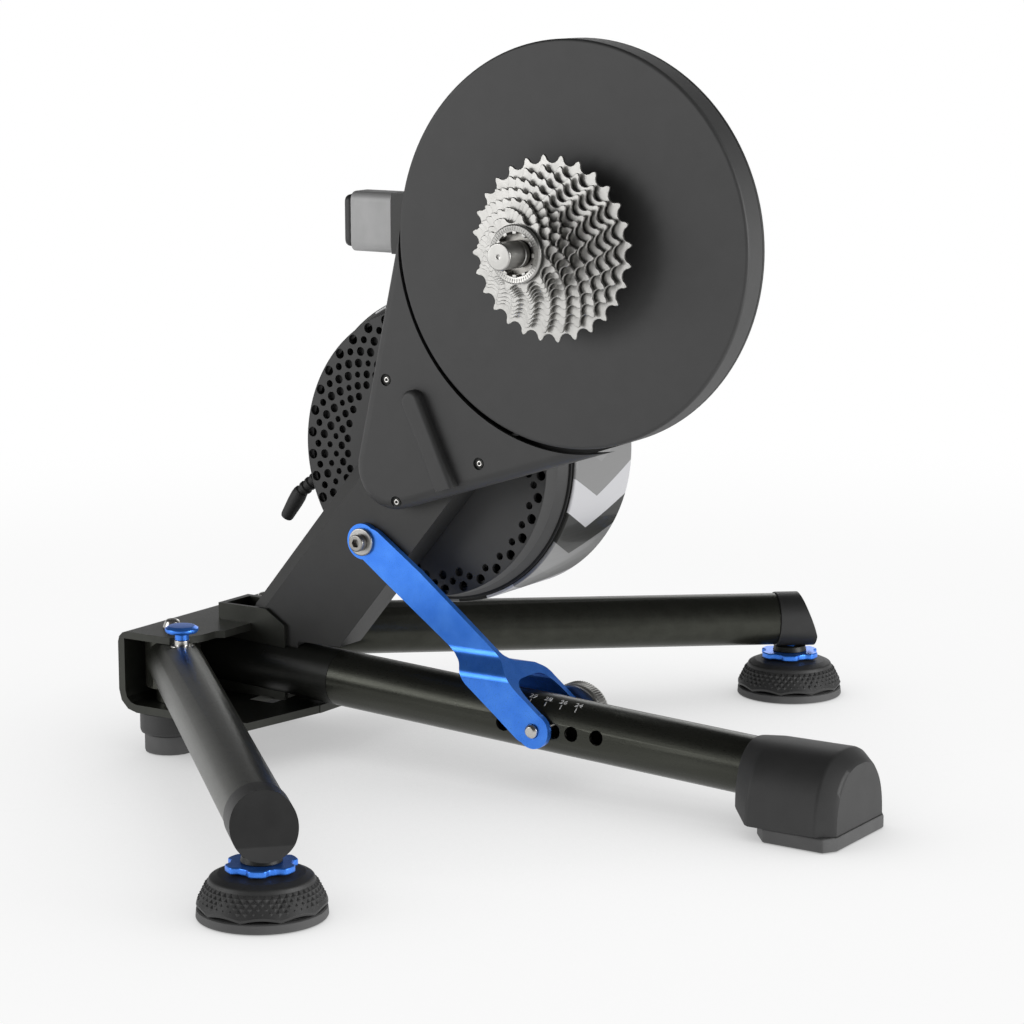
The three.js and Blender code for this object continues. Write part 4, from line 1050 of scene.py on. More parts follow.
cog_back = CASSETTE_BACK
for node, teeth_list, carrier in CLUSTERS:
    stands_for(make_cluster(node, teeth_list, carrier, cog_back), node, "nickel")
    cog_back -= COG_STEP * len(teeth_list)
print("cassette ends", round(cog_back, 2), "mm from the centre plane")


# %% [markdown]
# ## Axle and lockring
# The bike's frame drops onto the axle's plain turned ends. The lockring screws into the freehub
# and holds the cogs; its tool fits between twelve short teeth inside, and a ring of fine ridges
# marks its face. Cutting so many notches with Boolean modifiers would be slow, so the ring tree
# adds the teeth and ridges to a turned ring. The far end, the shaft and the bearing are plain
# turned rings that take their sizes from their nodes.

# %% Near end of the axle
ADAPTER_RADIUS = 8.5
ADAPTER_STEPS = 64


def radius_of(node):
    low, high = node_box(node)
    return (high.x - low.x) / 2


def make_adapter():
    low, high = node_box("drive_adapter")
    near, far = low.y, high.y
    seat = far - 2.3
    flange = radius_of("drive_adapter")
    profile = [
        (0, near + 1.2),
        (1.3, near + 0.9),
        (1.5, near),
        (ADAPTER_RADIUS, near),
        (ADAPTER_RADIUS, seat - 3),
        (ADAPTER_RADIUS - 0.6, seat - 2.4),
        (ADAPTER_RADIUS - 0.6, seat - 1.6),
        (flange, seat - 1),
        (flange, far),
        (0, far),
    ]
    radii = [0, 0, 0.2, 1, 0.2, 0.2, 0.2, 0.3, 0.3, 0]
    profile = rounded(profile, radii, 4)
    return turned("drive_adapter_turned", profile, AXLE, steps=ADAPTER_STEPS)


stands_for(make_adapter(), "drive_adapter", "nickel")
print("near end of the axle at", round(node_box("drive_adapter")[0].y, 1), "mm")


# %% Lockring
LOCKRING_TEETH = 12
LOCKRING_RIDGES = 60


def make_lockring():
    low, high = node_box("lockring")
    outer = radius_of("lockring")
    face = low.y
    profile = [
        (13.9, face + 0.5),
        (outer - 1, face),
        (outer, face + 0.8),
        (outer, face + 2),
        (15.4, face + 2),
        (15.4, high.y),
        (13.9, high.y),
    ]
    ring = turned("ring", rounded(profile, 0.25, 3), AXLE)
    tooth = box_shape("tooth", (-0.9, -1.4, -3.2), (0.9, 1.4, 3.2))
    settle(bevelled(tooth, 0.3, 2))
    centre = (0, (face + high.y) / 2, AXLE_Z)
    teeth = stand(ring_of("teeth", tooth, LOCKRING_TEETH, 13.4, 0, "nickel"), centre)
    ridge = box_shape("ridge", (-1.3, -0.22, -0.35), (1.3, 0.22, 0.35))
    centre = (0, face + 0.25, AXLE_Z)
    ridges = stand(ring_of("ridges", ridge, LOCKRING_RIDGES, outer - 2, 0, "nickel"), centre)
    bpy.data.objects.remove(tooth)
    bpy.data.objects.remove(ridge)
    return together("lockring_turned", [ring, teeth, ridges])


stands_for(make_lockring(), "lockring", "nickel")
print("lockring", round(2 * radius_of("lockring")), "mm across")


# %% Far end, shaft and bearing
SKEWER = 2.6
BEARING_BORE = 7.8


def tube_piece(node, bore, material, edges=0.5):
    """A turned ring with the outer size and the length of its node."""
    low, high = node_box(node)
    radius = radius_of(node)
    profile = [(bore, low.y), (radius, low.y), (radius, high.y), (bore, high.y)]
    made = turned(node + "_turned", rounded(profile, edges, 4), middle_of(node, "Y"))
    return stands_for(made, node, material)


tube_piece("far_adapter", SKEWER, "steel_bright", 1)
tube_piece("axle_shaft", SKEWER, "steel_grey")
tube_piece("axle_bearing", BEARING_BORE, "steel_grey")
print("far end of the axle at", round(node_box("far_adapter")[1].y, 1), "mm")


# %% [markdown]
# ## Arm and handle
# The arm is one casting, so its copy keeps its flats and chamfers and only its edges are eased.
# The handle is a rounded bar that grows out of it: a grey sleeve, closed by a dark end cap. Its
# corners are rounder than a bevel on the solid could make them, so both are drawn again as bars.

# %% Arm and handle
BAR_ROUND = 6.5
SLEEVE_LENGTH = 32.7
SLEEVE_WALL = 6


def bar_along_x(name, low, high, rounding, end_rounding):
    """A bar along the bike with rounded long edges, whose ends may be rounded too."""
    corners = [(low.y, low.z), (high.y, low.z), (high.y, high.z), (low.y, high.z)]
    made = plate(name, rounded(corners, rounding), low.x, high.x, "X")
    if end_rounding:
        settle(bevelled(made, end_rounding, 4, 60))
    return made


def make_grip():
    low, high = node_box("handle_grip")
    high.x = low.x + SLEEVE_LENGTH
    made = bar_along_x("handle_sleeve", low, high, BAR_ROUND, 0.6)
    inner_low = Vector((low.x - 2, low.y + SLEEVE_WALL, low.z + SLEEVE_WALL))
    inner_high = Vector((low.x + 20, high.y - SLEEVE_WALL, high.z - SLEEVE_WALL))
    return cut(made, bar_along_x("inside", inner_low, inner_high, 2, 0))


def make_handle_cap():
    low, high = node_box("handle_cap")
    grip_low = node_box("handle_grip")[0]
    face = Vector((grip_low.x - 0.3, high.y, high.z))
    return bar_along_x("handle_end", low, face, BAR_ROUND - 1, 3.2)


dress("main_arm", "arm_paint", 1.1, 3, 25)
stands_for(make_grip(), "handle_grip", "handle_grey")
stands_for(make_handle_cap(), "handle_cap", "dark_plastic")
print("arm and handle dressed")


# %% [markdown]
# ## Brake cover
# Air cools the brake through rings of holes in this moulded cover. The holes shrink towards the
# middle, every second ring has smaller ones, and each ring is turned half a step from the last,
# so they pack closely. Cutting a few hundred holes with Boolean modifiers would be slow, so
# Geometry Nodes draws a circle for each hole, fills the face between them and gives it its
# thickness. The smooth housing in the middle has no holes.

# %% A perforated face
HOLE_RADIUS = 3.5
HOLE_SHRINK = 0.18
HOLE_CHANGE = 0.75
HOUSING = (13, -10.9)
HOUSING_RADIUS = 69
PERFORATED_INPUTS = [
    ("Rings", "Int"),
    ("Holes", "Int"),
    ("First Ring", "Float"),
    ("Ring Step", "Float"),
    ("First Hole", "Float"),
    ("Edge", "Float"),
    ("Bore", "Float"),
    ("Thickness", "Float"),
    ("Finish", "Material"),
]


def perforated_tree():
    tree, graph, port = new_tree("perforated_face", PERFORATED_INPUTS)
    index = graph.node("GeometryNodeInputIndex")
    ring = graph.math("FLOOR", index / port["Holes"] + 0.0001)
    odd = ring % 2
    angle = (index + odd * 0.5) / port["Holes"] * math.tau + port["First Hole"]
    radius = port["First Ring"] - ring * port["Ring Step"]
    u = graph.math("COSINE", angle) * radius
    v = graph.math("SINE", angle) * radius
    place = graph.node("ShaderNodeCombineXYZ", None, {0: u, 1: v})
    count = port["Rings"] * port["Holes"]
    points = graph.node("GeometryNodePoints", None, {"Count": count, "Position": place})
    across, up = u - HOUSING[0], v - HOUSING[1]
    from_housing = graph.math("SQRT", across * across + up * up)
    inputs = {"Geometry": points, "Selection": from_housing < HOUSING_RADIUS}
    points = graph.node("GeometryNodeDeleteGeometry", {"domain": "POINT"}, inputs)
    hole_size = HOLE_RADIUS - ring * HOLE_SHRINK - odd * HOLE_CHANGE
    settings = {"data_type": "FLOAT", "domain": "POINT"}
    inputs = {"Geometry": points, "Name": "hole_size", "Value": hole_size}
    kept = graph.node("GeometryNodeStoreNamedAttribute", settings, inputs)
    circle = graph.node("GeometryNodeCurvePrimitiveCircle", None, {"Resolution": 14, "Radius": 1})
    size = graph.node("GeometryNodeInputNamedAttribute", {"data_type": "FLOAT"}, {"Name": "hole_size"})
    inputs = {"Points": kept, "Instance": circle, "Scale": size}
    holes = graph.node("GeometryNodeInstanceOnPoints", None, inputs)
    rims = graph.tree.nodes.new("GeometryNodeJoinGeometry")
    for label, resolution in (("Edge", 160), ("Bore", 48)):
        inputs = {"Resolution": resolution, "Radius": port[label]}
        rim = graph.node("GeometryNodeCurvePrimitiveCircle", None, inputs)
        graph.feed(rims.inputs[0], rim)
    graph.feed(rims.inputs[0], graph.node("GeometryNodeRealizeInstances", None, {0: holes}))
    curves = Wire(graph, rims.outputs[0])
    face = graph.node("GeometryNodeFillCurve", None, {"Curve": curves})
    inputs = {"Mesh": face, "Offset Scale": port["Thickness"], "Individual": False}
    raised = graph.node("GeometryNodeExtrudeMesh", None, inputs)
    back = graph.node("GeometryNodeFlipFaces", None, {"Mesh": face})
    both = graph.tree.nodes.new("GeometryNodeJoinGeometry")
    graph.feed(both.inputs[0], raised)
    graph.feed(both.inputs[0], back)
    whole = Wire(graph, both.outputs[0])
    closed = graph.node("GeometryNodeMergeByDistance", None, {"Geometry": whole, "Distance": 0.001})
    close_tree(graph, closed, port["Finish"])
    return tree


PERFORATED_TREE = perforated_tree()
print("the perforated face's tree has", len(PERFORATED_TREE.nodes), "nodes")


# %% Brake cover
BRAKE_FACE = node_box("brake_cover")[0].y
BRAKE_SKIN = 3
BRAKE_EDGE = 96.6
BRAKE_BORE = 14
BRAKE_RIM = 21.5
RING_COUNT = 7
HOLES_IN_RING = 38
FIRST_RING = 93.2
RING_STEP = 4.95
FIRST_HOLE = math.radians(118.9)


def make_brake_face():
    values = {
        "Rings": RING_COUNT,
        "Holes": HOLES_IN_RING,
        "First Ring": FIRST_RING,
        "Ring Step": RING_STEP,
        "First Hole": FIRST_HOLE,
        "Edge": BRAKE_EDGE,
        "Bore": float(BRAKE_BORE),
        "Thickness": float(BRAKE_SKIN),
        "Finish": MATERIALS["case_paint"],
    }
    made = grown("brake_face", PERFORATED_TREE, values)
    return stand(made, (WHEEL[0], BRAKE_FACE + BRAKE_SKIN, WHEEL[1]))


def make_brake_wall():
    wall, bevel, rim = BRAKE_FACE + 12, BRAKE_FACE + 20, BRAKE_FACE + BRAKE_RIM
    profile = [
        (BRAKE_EDGE - 0.1, BRAKE_FACE),
        (97.5, BRAKE_FACE),
        (98.5, wall),
        (101.5, bevel),
        (101.5, rim),
        (98.5, rim),
        (95.5, wall),
        (94.5, BRAKE_FACE + BRAKE_SKIN),
        (BRAKE_EDGE - 0.1, BRAKE_FACE + BRAKE_SKIN),
    ]
    radii = [0, 1.2, 2, 1, 0.5, 0.2, 1, 0.2, 0]
    return turned("brake_wall", rounded(profile, radii, 5), WHEEL, steps=DISC_STEPS)


def make_seal():
    rim, back = BRAKE_FACE + BRAKE_RIM, node_box("brake_cover")[1].y
    profile = [(98.5, rim), (103.2, rim), (103.2, back), (98.5, back)]
    return turned("brake_seal", rounded(profile, 0.4, 3), WHEEL, steps=DISC_STEPS)


def make_core():
    low, high = node_box("brake_core")
    profile = [(16, low.y), (88, low.y), (88, high.y), (16, high.y)]
    return turned("brake_core_turned", rounded(profile, 1), WHEEL)


brake_cover = together("brake_cover_open", [make_brake_face(), make_brake_wall()])
stands_for(brake_cover, "brake_cover", "case_paint")
finish_piece(make_seal(), "base", MATERIALS["black_rubber"])
# The core is made nearly black, so the shade inside the cover's holes is painted on it.
surface("hole_shade_black", "#050505", "#0b0b0b", 0, (0.6, 0.7), 0.8, 0.02)
stands_for(make_core(), "brake_core", "hole_shade_black")
print("brake cover", len(brake_cover.data.polygons), "faces")


# %% [markdown]
# ## Flywheel
# A heavy steel ring with a printed band of plain chevrons round its rim. A picture could be
# wrapped round it, but the band stays sharp if the material works it out: the angle round the
# shaft plus a share of the distance from the middle of the rim gives lines that fold to a V, and
# a stepped ramp turns them into four tones that repeat.

# %% Band of chevrons
CHEVRON_MIDDLE = 74.2
CHEVRON_SLOPE = 0.28
CHEVRON_REPEATS = 7
CHEVRON_START = 2.2
CHEVRON_TONES = [(0, "#858585"), (0.2515, "#c9c9cc"), (0.507, "#1c1d1a"), (0.752, "#8d8d8d")]
RIM_FROM = 104


def chevron_finish():
    made = Finish("flywheel_band")
    x, y, z = made.split(made.place(centre=(WHEEL[0] + AXLE_X / MM, CHEVRON_MIDDLE, WHEEL[1])))
    angle = made.math("ARCTAN2", z, x) * (-180 / math.pi)
    fold = abs(y) * (CHEVRON_SLOPE / MM)
    cycle = 360 / CHEVRON_REPEATS
    share = (angle + fold - CHEVRON_START + 720) % cycle / cycle
    band = made.ramp(share, [(start, linear(tone)) for start, tone in CHEVRON_TONES])
    band.socket.node.color_ramp.interpolation = "CONSTANT"
    reach = made.math("SQRT", x * x + z * z) / MM
    on_rim = reach > RIM_FROM
    rings = made.noise(0.8, (1, 0.02, 1), 3)
    steel = made.ramp(rings, [(0.3, linear("#2f2f2e")), (0.7, linear("#40403e"))])
    made.set(
        Base_Color=made.mix(on_rim, steel, band),
        Metallic=0.55,
        Roughness=rings * 0.16 + 0.28,
        Normal=made.bump(rings, 0.01),
        Coat_Weight=0.2,
    )


chevron_finish()
print("the chevrons repeat every", round(360 / CHEVRON_REPEATS, 1), "degrees")


# %% Flywheel and pulleys
RIM_WIDTH = 12


def make_flywheel():
    low, high = node_box("flywheel")
    radius = radius_of("flywheel")
    profile = [
        (radius - RIM_WIDTH, low.y),
        (radius, low.y),
        (radius, high.y),
        (60, high.y),
        (54, high.y - 3),
        (30, high.y - 3),
        (26, high.y),
        (9.3, high.y),
        (9.3, high.y - RIM_WIDTH),
        (radius - RIM_WIDTH, high.y - RIM_WIDTH),
    ]
    radii = [0.6, 1.6, 2, 1, 1, 1, 1, 0.4, 0.4, 2]
    return turned("flywheel_turned", rounded(profile, radii, 4), WHEEL, steps=DISC_STEPS)


def make_shaft():
    low, high = node_box("flywheel_shaft")
    near = node_box("small_pulley")[1].y + 0.3
    profile = [
        (0, low.y), (6, low.y), (6, near), (9, near), (9, high.y), (3, high.y), (3, high.y - 5),
        (0, high.y - 6),
    ]
    return turned("shaft_turned", rounded(profile, [0, 0.5, 0.2, 0.2, 1, 0.4, 0.2, 0], 3), WHEEL)


stands_for(make_flywheel(), "flywheel", "flywheel_band")
stands_for(make_shaft(), "flywheel_shaft", "steel_grey")
tube_piece("small_pulley", 6.3, "steel_grey", 0.4)
dress("drive_pulley", "steel_grey", 0.4)
dress("belt", "black_rubber", 0.3, 1)
dress("freehub", "steel_grey", 0.3)
print("flywheel", round(2 * radius_of("flywheel")), "mm across")


# %% [markdown]
# ## Power lead boot
# The power lead starts in a rubber boot: a ribbed neck that bends without breaking the wires, and
# a smooth grip. A curve with a round bevel would give an even tube. Here circles are set along
# one line that bends where the neck meets the grip, so their radii can follow a wave for the
# ribs, and faces join each circle to the next.

# %% Power lead boot
BOOT_ROUTE = [(-237.5, 188.8), (-258.8, 172.3), (-271.8, 152.9)]
BOOT_RIBS = 5
NECK_STEPS = 60
NECK_RADIUS = 4.5
RIB_RISE = 0.65
GRIP_RADII = [(0.04, 5.3), (0.16, 5.6), (0.4, 5.5), (0.7, 5.0), (0.93, 4.6), (0.99, 4.1)]
BOOT_SIDES = 28


def boot_stations(neck, grip):
    """How far along each circle of the boot lies, and its radius."""
    stations = []
    for step in range(NECK_STEPS + 1):
        wave = math.cos(math.tau * BOOT_RIBS * step / NECK_STEPS)
        rib = max(-0.7, min(0.7, wave * 1.6))
        stations.append((neck * step / NECK_STEPS, NECK_RADIUS + RIB_RISE * rib))
    return stations + [(neck + grip * share, radius) for share, radius in GRIP_RADII]


def skinned(name, places, count):
    """Closes rings of points, one after the other, into a solid."""
    last = len(places) - count
    faces = [tuple(range(count)), tuple(range(last, last + count))]
    for start in range(0, last, count):
        for step in range(count):
            a, b = start + step, start + (step + 1) % count
            faces.append((a, b, b + count, a + count))
    return mesh_object(name, places, faces)


def make_boot():
    low, high = node_box("power_boot")
    depth = (low.y + high.y) / 2
    start, bend, end = (Vector((x, depth, z)) for x, z in BOOT_ROUTE)
    neck = (bend - start).length
    down, out = (bend - start).normalized(), (end - bend).normalized()
    sideways = Vector((0, 1, 0))
    places = []
    for along, radius in boot_stations(neck, (end - bend).length):
        turn = min(max((along - neck + 6) / 12, 0), 1)
        heading = down.lerp(out, turn).normalized()
        middle = start + down * min(along, neck)
        middle += out * max(along - neck, 0)
        across = heading.cross(sideways).normalized()
        for side in range(BOOT_SIDES):
            angle = math.tau * side / BOOT_SIDES
            offset = across * math.cos(angle) + sideways * math.sin(angle)
            places.append(middle + offset * radius)
    return skinned("power_boot_ribbed", places, BOOT_SIDES)


stands_for(make_boot(), "power_boot", "black_rubber", 45)
print("boot grip ends", BOOT_ROUTE[-1])


# %% [markdown]
# ## Hub, tubes and rear feet
# The hub is a bent steel channel, the three tubes are drawn and anodised, and the rear feet are
# moulded. Their solids already have the right form, so they are copies with eased edges.

# %% Hub, tubes and rear feet
dress("hub_channel", "hub_black", 1.2, 3, 25)
dress("arm_pivot_pin", "steel_grey", 0.4)
dress("centre_socket", "socket_black", 0.8)
dress("centre_tube", "tube_black", 0.5)
SIDES = ("right", "left")
for side in SIDES:
    dress(side + "_leg_tube", "tube_black")
    dress(side + "_rear_foot", "foot_plastic", 1.5, 3)
    dress(side + "_rear_pad", "pad_grey", 1)
dress("centre_pad", "pad_grey", 1.2)
print("hub, tubes and rear feet dressed")


# %% [markdown]
# ## End caps of the legs
# A moulded cap closes each leg, a short cylinder with a slanted end. A copy of its solid would
# show flat facets close to the camera, so it is turned round the leg's own axis, kept inside the
# slanted outline and bored for the foot's threaded stud.

# %% End caps of the legs
LEG_PIVOT = (-306, 52.5)
LEG_ANGLE = math.radians(43.7)
LEG_LENGTH = 389.3
LEG_HEIGHT = 65
LEG_FALL = 9
LEG_DROP = math.atan(LEG_FALL / LEG_LENGTH)
CAP_RADIUS = 20
CAP_START = 377.3
CAP_END = 409.3
CAP_OUTLINE = [(377, 30), (406.3, 30), (405.6, 45), (398.4, 65), (393.6, 80), (377, 80)]
CAP_HALF = 30
CAP_EDGE = 1.6
STUD_BORE = 5.3
STUD_TOP = 58


def make_cap(side):
    sign = -1 if side == "right" else 1
    profile = [(0, CAP_START), (CAP_RADIUS, CAP_START), (CAP_RADIUS, CAP_END), (0, CAP_END)]
    made = turned(side + "_cap", rounded(profile, [0, 0.8, 0, 0], 3), axis="X")
    made.data.transform(Matrix.Rotation(LEG_DROP, 4, "Y"))
    made.data.transform(Matrix.Translation((0, 0, LEG_HEIGHT)))
    keep = plate("cap_outline", rounded(CAP_OUTLINE, 4, 4), -CAP_HALF, CAP_HALF)
    made = combined(made, [keep], "INTERSECT")
    stud = [(0, 0), (STUD_BORE, 0), (STUD_BORE, STUD_TOP), (0, STUD_TOP)]
    made = cut(made, turned("bore", stud, (LEG_LENGTH, 0), "Z", 24))
    settle(bevelled(made, CAP_EDGE, 4, 45))
    made.data.transform(Matrix.Rotation(sign * LEG_ANGLE, 4, "Z"))
    made.data.transform(Matrix.Translation((LEG_PIVOT[0], sign * LEG_PIVOT[1], 0)))
    return made


for side in SIDES:
    stands_for(make_cap(side), side + "_leg_cap", "dark_plastic")
print("caps end", max(along for along, height in CAP_OUTLINE), "mm from the pivot")


# %% [markdown]
# ## Centre foot
# The foot is a moulded block whose every section is an arch, wide at the bottom and round on top.
# A block with bevelled edges would look too square. Joining a few such arches along the tube
# gives its soft slopes at both ends. Each row below holds how far along an arch stands and how
# much it is pulled in at the sides, top and bottom.

# %% Centre foot
ARCH_STEPS = 40
ARCH_POWER = 0.84
FOOT_SECTIONS = [
    (0, 12, 0.8, 8),
    (1.5, 10.4, 0.6, 7),
    (13, 0.6, 0, 0.5),
    (15.5, 0, 0, 0),
    (60.5, 0, 0, 0),
    (63, 0.8, 0.6, 0),
    (70.5, 7, 6, 0),
    (72.6, 9.4, 8.4, 0),
]


def arch(half, top, bottom):
    points = []
    for step in range(ARCH_STEPS + 1):
        angle = math.pi * step / ARCH_STEPS
        side, rise = math.cos(angle), math.sin(angle)
        width = math.copysign(abs(side) ** ARCH_POWER, side) * half
        points.append((width, bottom + (top - bottom) * rise ** ARCH_POWER))
    return points


def make_centre_foot():
    low, high = node_box("centre_foot")
    places = []
    for along, inset, drop, lift in FOOT_SECTIONS:
        section = arch(high.y - inset, high.z - drop, low.z + lift)
        places += [(low.x + along, y, z) for y, z in section]
    return skinned("centre_foot_moulded", places, ARCH_STEPS + 1)


stands_for(make_centre_foot(), "centre_foot", "foot_plastic", 40)
print("centre foot drawn from", len(FOOT_SECTIONS), "arches")


# %% [markdown]
# ## Scale on the centre tube
# Each thin white line stands at the hole for one wheel size, with a small plain number above it.
# They could be part of the tube's material, but as thin shapes they stay sharp and need no
# picture. The numbers are drawn flat as text. Each point of their mesh is then bent round the
# tube: its height on the page becomes an angle, and its depth a small share of the radius.

# %% Scale on the centre tube
TUBE_RADIUS = 19.15
TUBE_MIDDLE = 42.9
TUBE_SLOPE = 0.052
TICK_PLACES = [-39.9, -28.2, -16.4, -4.8]
TICK_WIDTH = 0.6
TICK_FROM, TICK_TO = 122, 132
NUMBERS = ["29", "28", "26", "24"]
NUMBER_SIZE = 5.6
NUMBER_THICKNESS = 0.15
NUMBER_FOOT = math.radians(62)


def tube_height(x):
    return TUBE_MIDDLE - TUBE_SLOPE * x


def make_tick(x):
    centre = (0, tube_height(x))
    outer = arc(centre, TUBE_RADIUS + 0.12, TICK_FROM, TICK_TO, 8)
    inner = arc(centre, TUBE_RADIUS - 0.3, TICK_TO, TICK_FROM, 8)
    return plate("tick", outer + inner, x - TICK_WIDTH / 2, x + TICK_WIDTH / 2, "X")


def make_number(text, x):
    """A plain number bent round the tube, its foot just above its tick."""
    curve = bpy.data.curves.new("number", "FONT")
    curve.body = text
    curve.size = NUMBER_SIZE
    curve.align_x = "CENTER"
    curve.extrude = NUMBER_THICKNESS
    curve.resolution_u = 2
    flat = linked("number", curve)
    graph = bpy.context.evaluated_depsgraph_get()
    mesh = bpy.data.meshes.new_from_object(flat.evaluated_get(graph))
    bpy.data.objects.remove(flat)
    for vertex in mesh.vertices:
        u, v, w = vertex.co
        angle = NUMBER_FOOT + v / TUBE_RADIUS
        reach = TUBE_RADIUS + w
        height = tube_height(x + u) + reach * math.sin(angle)
        vertex.co = (x + u, -reach * math.cos(angle), height)
    return linked("number_bent", mesh)


surface("print_white", "#d2d2d2", "#dedede", 0, (0.5, 0.6), 0.3, 0.004)
marks = [make_tick(x) for x in TICK_PLACES]
marks += [make_number(text, x) for text, x in zip(NUMBERS, TICK_PLACES)]
finish_piece(together("scale_ticks", marks), "base", MATERIALS["print_white"])
print(len(TICK_PLACES), "ticks")


# %% [markdown]
# ## Leg bolts and lock knobs
# Each folding leg turns on a button-headed bolt, and a spring pin holds it open: a blue mushroom
# knob on a thin stem, pulled up out of a bright collar on the leg. All of them are turned parts,
# so a profile is enough, and only the bolt's hexagon socket has to be cut.

# %% Leg bolts and lock knobs
def on_node(made, node):
    """Moves an upright shape from the Z axis to the middle of a node."""
    made.data.transform(Matrix.Translation((*middle_of(node), 0)))
    return made


def make_leg_bolt(node):
    low, high = node_box(node)
    radius = radius_of(node)
    seat = high.z - 3.2
    top = high.z + 3
    profile = [
        (0, low.z), (6, low.z), (6, seat), (radius, seat), (radius, seat + 0.8),
        (radius * 0.66, top), (0, top),
    ]
    made = turned(node + "_turned", rounded(profile, [0, 0.5, 0, 0, 1.2, 3.4, 0], 6), axis="Z")
    socket = [(0, top - 2), (2, top - 2), (2, top + 1), (0, top + 1)]
    return on_node(cut(made, turned("socket", socket, axis="Z", steps=6)), node)


def make_lock_knob(node):
    low, high = node_box(node)
    radius = radius_of(node)
    under = high.z - 4.8
    neck = node_box(node.replace("knob", "collar"))[1].z + 0.2
    profile = [
        (0, low.z), (3, low.z), (3, neck), (4.8, neck), (4.8, under - 0.8), (radius - 1, under),
        (radius, under + 1.4), (radius, high.z - 1.8), (radius - 2.4, high.z - 0.2),
        (radius * 0.5, high.z), (0, high.z),
    ]
    radii = [0, 0.4, 0.2, 0.3, 1.2, 0.8, 1, 1.2, 1.5, 2, 0]
    return on_node(turned(node + "_turned", rounded(profile, radii, 5), axis="Z"), node)


for side in SIDES:
    bolt, knob = side + "_leg_bolt", side + "_lock_knob"
    stands_for(make_leg_bolt(bolt), bolt, "steel_bright")
    stands_for(make_lock_knob(knob), knob, "blue_anodised")
    dress(side + "_lock_collar", "steel_bright", 0.4)
print("lock knob at", tuple(round(value, 1) for value in middle_of("right_lock_knob")))


# %% [markdown]
# ## Adjustable feet
# Each foot is a soft grey pad under a dome that is turned by hand. Diamond knurling round the
# dome's scalloped skirt gives the hand its hold, and the blue star under the tube locks the
# height, with a dark nut above it. A bump in the material could stand for the knurl, but it would
# leave the dome's edge smooth. So it is four rings of small pyramids, each ring turned half a
# step from the one below.

# %% Knurled dome
SKIRT_BOTTOM = 5.9
SKIRT_LOW = (38, 7.6)
SKIRT_HIGH = (31.9, 20)
SCALLOPS = 10
SCALLOP_RISE = 1.9
DIAMONDS = 48
DIAMOND_ROWS = 4
KNURL_FROM = 0.2
KNURL_RISE = 1.15


def diamond(width, height, rise):
    places = [
        (0, -width / 2, 0), (0, 0, -height / 2), (0, width / 2, 0), (0, 0, height / 2),
        (rise, 0, 0), (-0.3, 0, 0),
    ]
    faces = [(i, (i + 1) % 4, 4) for i in range(4)] + [((i + 1) % 4, i, 5) for i in range(4)]
    return mesh_object("diamond", places, faces)


def make_dome(side):
    node = side + "_foot_dome"
    high = node_box(node)[1]
    radius = radius_of(node)
    profile = [
        (5.5, SKIRT_BOTTOM),
        (radius * 0.9, SKIRT_BOTTOM),
        (SKIRT_LOW[0] - 0.4, SKIRT_BOTTOM),
        SKIRT_LOW,
        SKIRT_HIGH,
        (31.2, 21),
        (30.4, 23.5),
        (25.5, 25.6),
        (12.9, high.z),
        (5.5, high.z),
    ]
    radii = [0, 0.8, 0.6, 0.6, 0.8, 0.6, 2.4, 4, 0.8, 0]
    shells = [turned("dome", rounded(profile, radii, 5), axis="Z", steps=120)]
    for vertex in shells[0].data.vertices:
        x, y, z = vertex.co
        if z < SKIRT_LOW[1] + 0.5 and math.hypot(x, y) > radius * 0.8:
            vertex.co.z += SCALLOP_RISE * abs(math.sin(math.atan2(y, x) * SCALLOPS / 2))
    slope = Vector(SKIRT_HIGH) - Vector(SKIRT_LOW)
    lean = -math.atan2(-slope.x, slope.y)
    row_step = slope.length * (1 - KNURL_FROM) / DIAMOND_ROWS
    template = diamond(math.tau * 35 / DIAMONDS * 0.96, row_step * 1.9, KNURL_RISE)
    for row in range(DIAMOND_ROWS):
        share = KNURL_FROM + (1 - KNURL_FROM) * (row + 0.5) / DIAMOND_ROWS
        spot = Vector(SKIRT_LOW).lerp(Vector(SKIRT_HIGH), share)
        phase = math.pi / DIAMONDS * (row % 2)
        ring = (DIAMONDS, spot.x - 0.1, spot.y, "foot_plastic", phase, lean)
        shells.append(ring_of("knurl", template, *ring))
    bpy.data.objects.remove(template)
    return on_node(together(node + "_knurled", shells), node)


print("each dome has", DIAMONDS * DIAMOND_ROWS, "diamonds")


# %% Pad, star and neck
STAR_LOBES = 6
STAR_RADIUS = 21.4
STAR_DEPTH = 0.15
STAR_THICKNESS = 4.2
STAR_STEPS = 96
NECK_HEIGHT = 4


def make_pad(side):
    node = side + "_foot_pad"
    low = node_box(node)[0]
    radius, top = radius_of(node), SKIRT_BOTTOM - 0.2
    profile = [
        (0, low.z), (radius - 0.5, low.z), (radius, 0.8), (radius - 0.4, 5.2),
        (radius - 1.6, top), (0, top),
    ]
    return on_node(turned(node + "_turned", rounded(profile, 0.5, 4), axis="Z"), node)


def make_star(side):
    node = side + "_foot_star"
    low, high = node_box(node)
    bottom = node_box(side + "_foot_dome")[1].z + 0.3
    outline = []
    for step in range(STAR_STEPS):
        angle = math.tau * step / STAR_STEPS
        notch = min(max(0.3 - math.cos(angle * STAR_LOBES), 0), 1)
        radius = STAR_RADIUS * (1 - STAR_DEPTH * notch * notch * (3 - 2 * notch))
        outline.append((radius * math.cos(angle), radius * math.sin(angle)))
    star = bevelled(plate("star", outline, bottom, bottom + STAR_THICKNESS, "Z"), 0.9, 3, 60)
    stud = turned("stud", [(0, low.z), (5, low.z), (5, high.z), (0, high.z)], axis="Z")
    return on_node(together(node + "_lobed", [star, stud]), side + "_foot_dome")


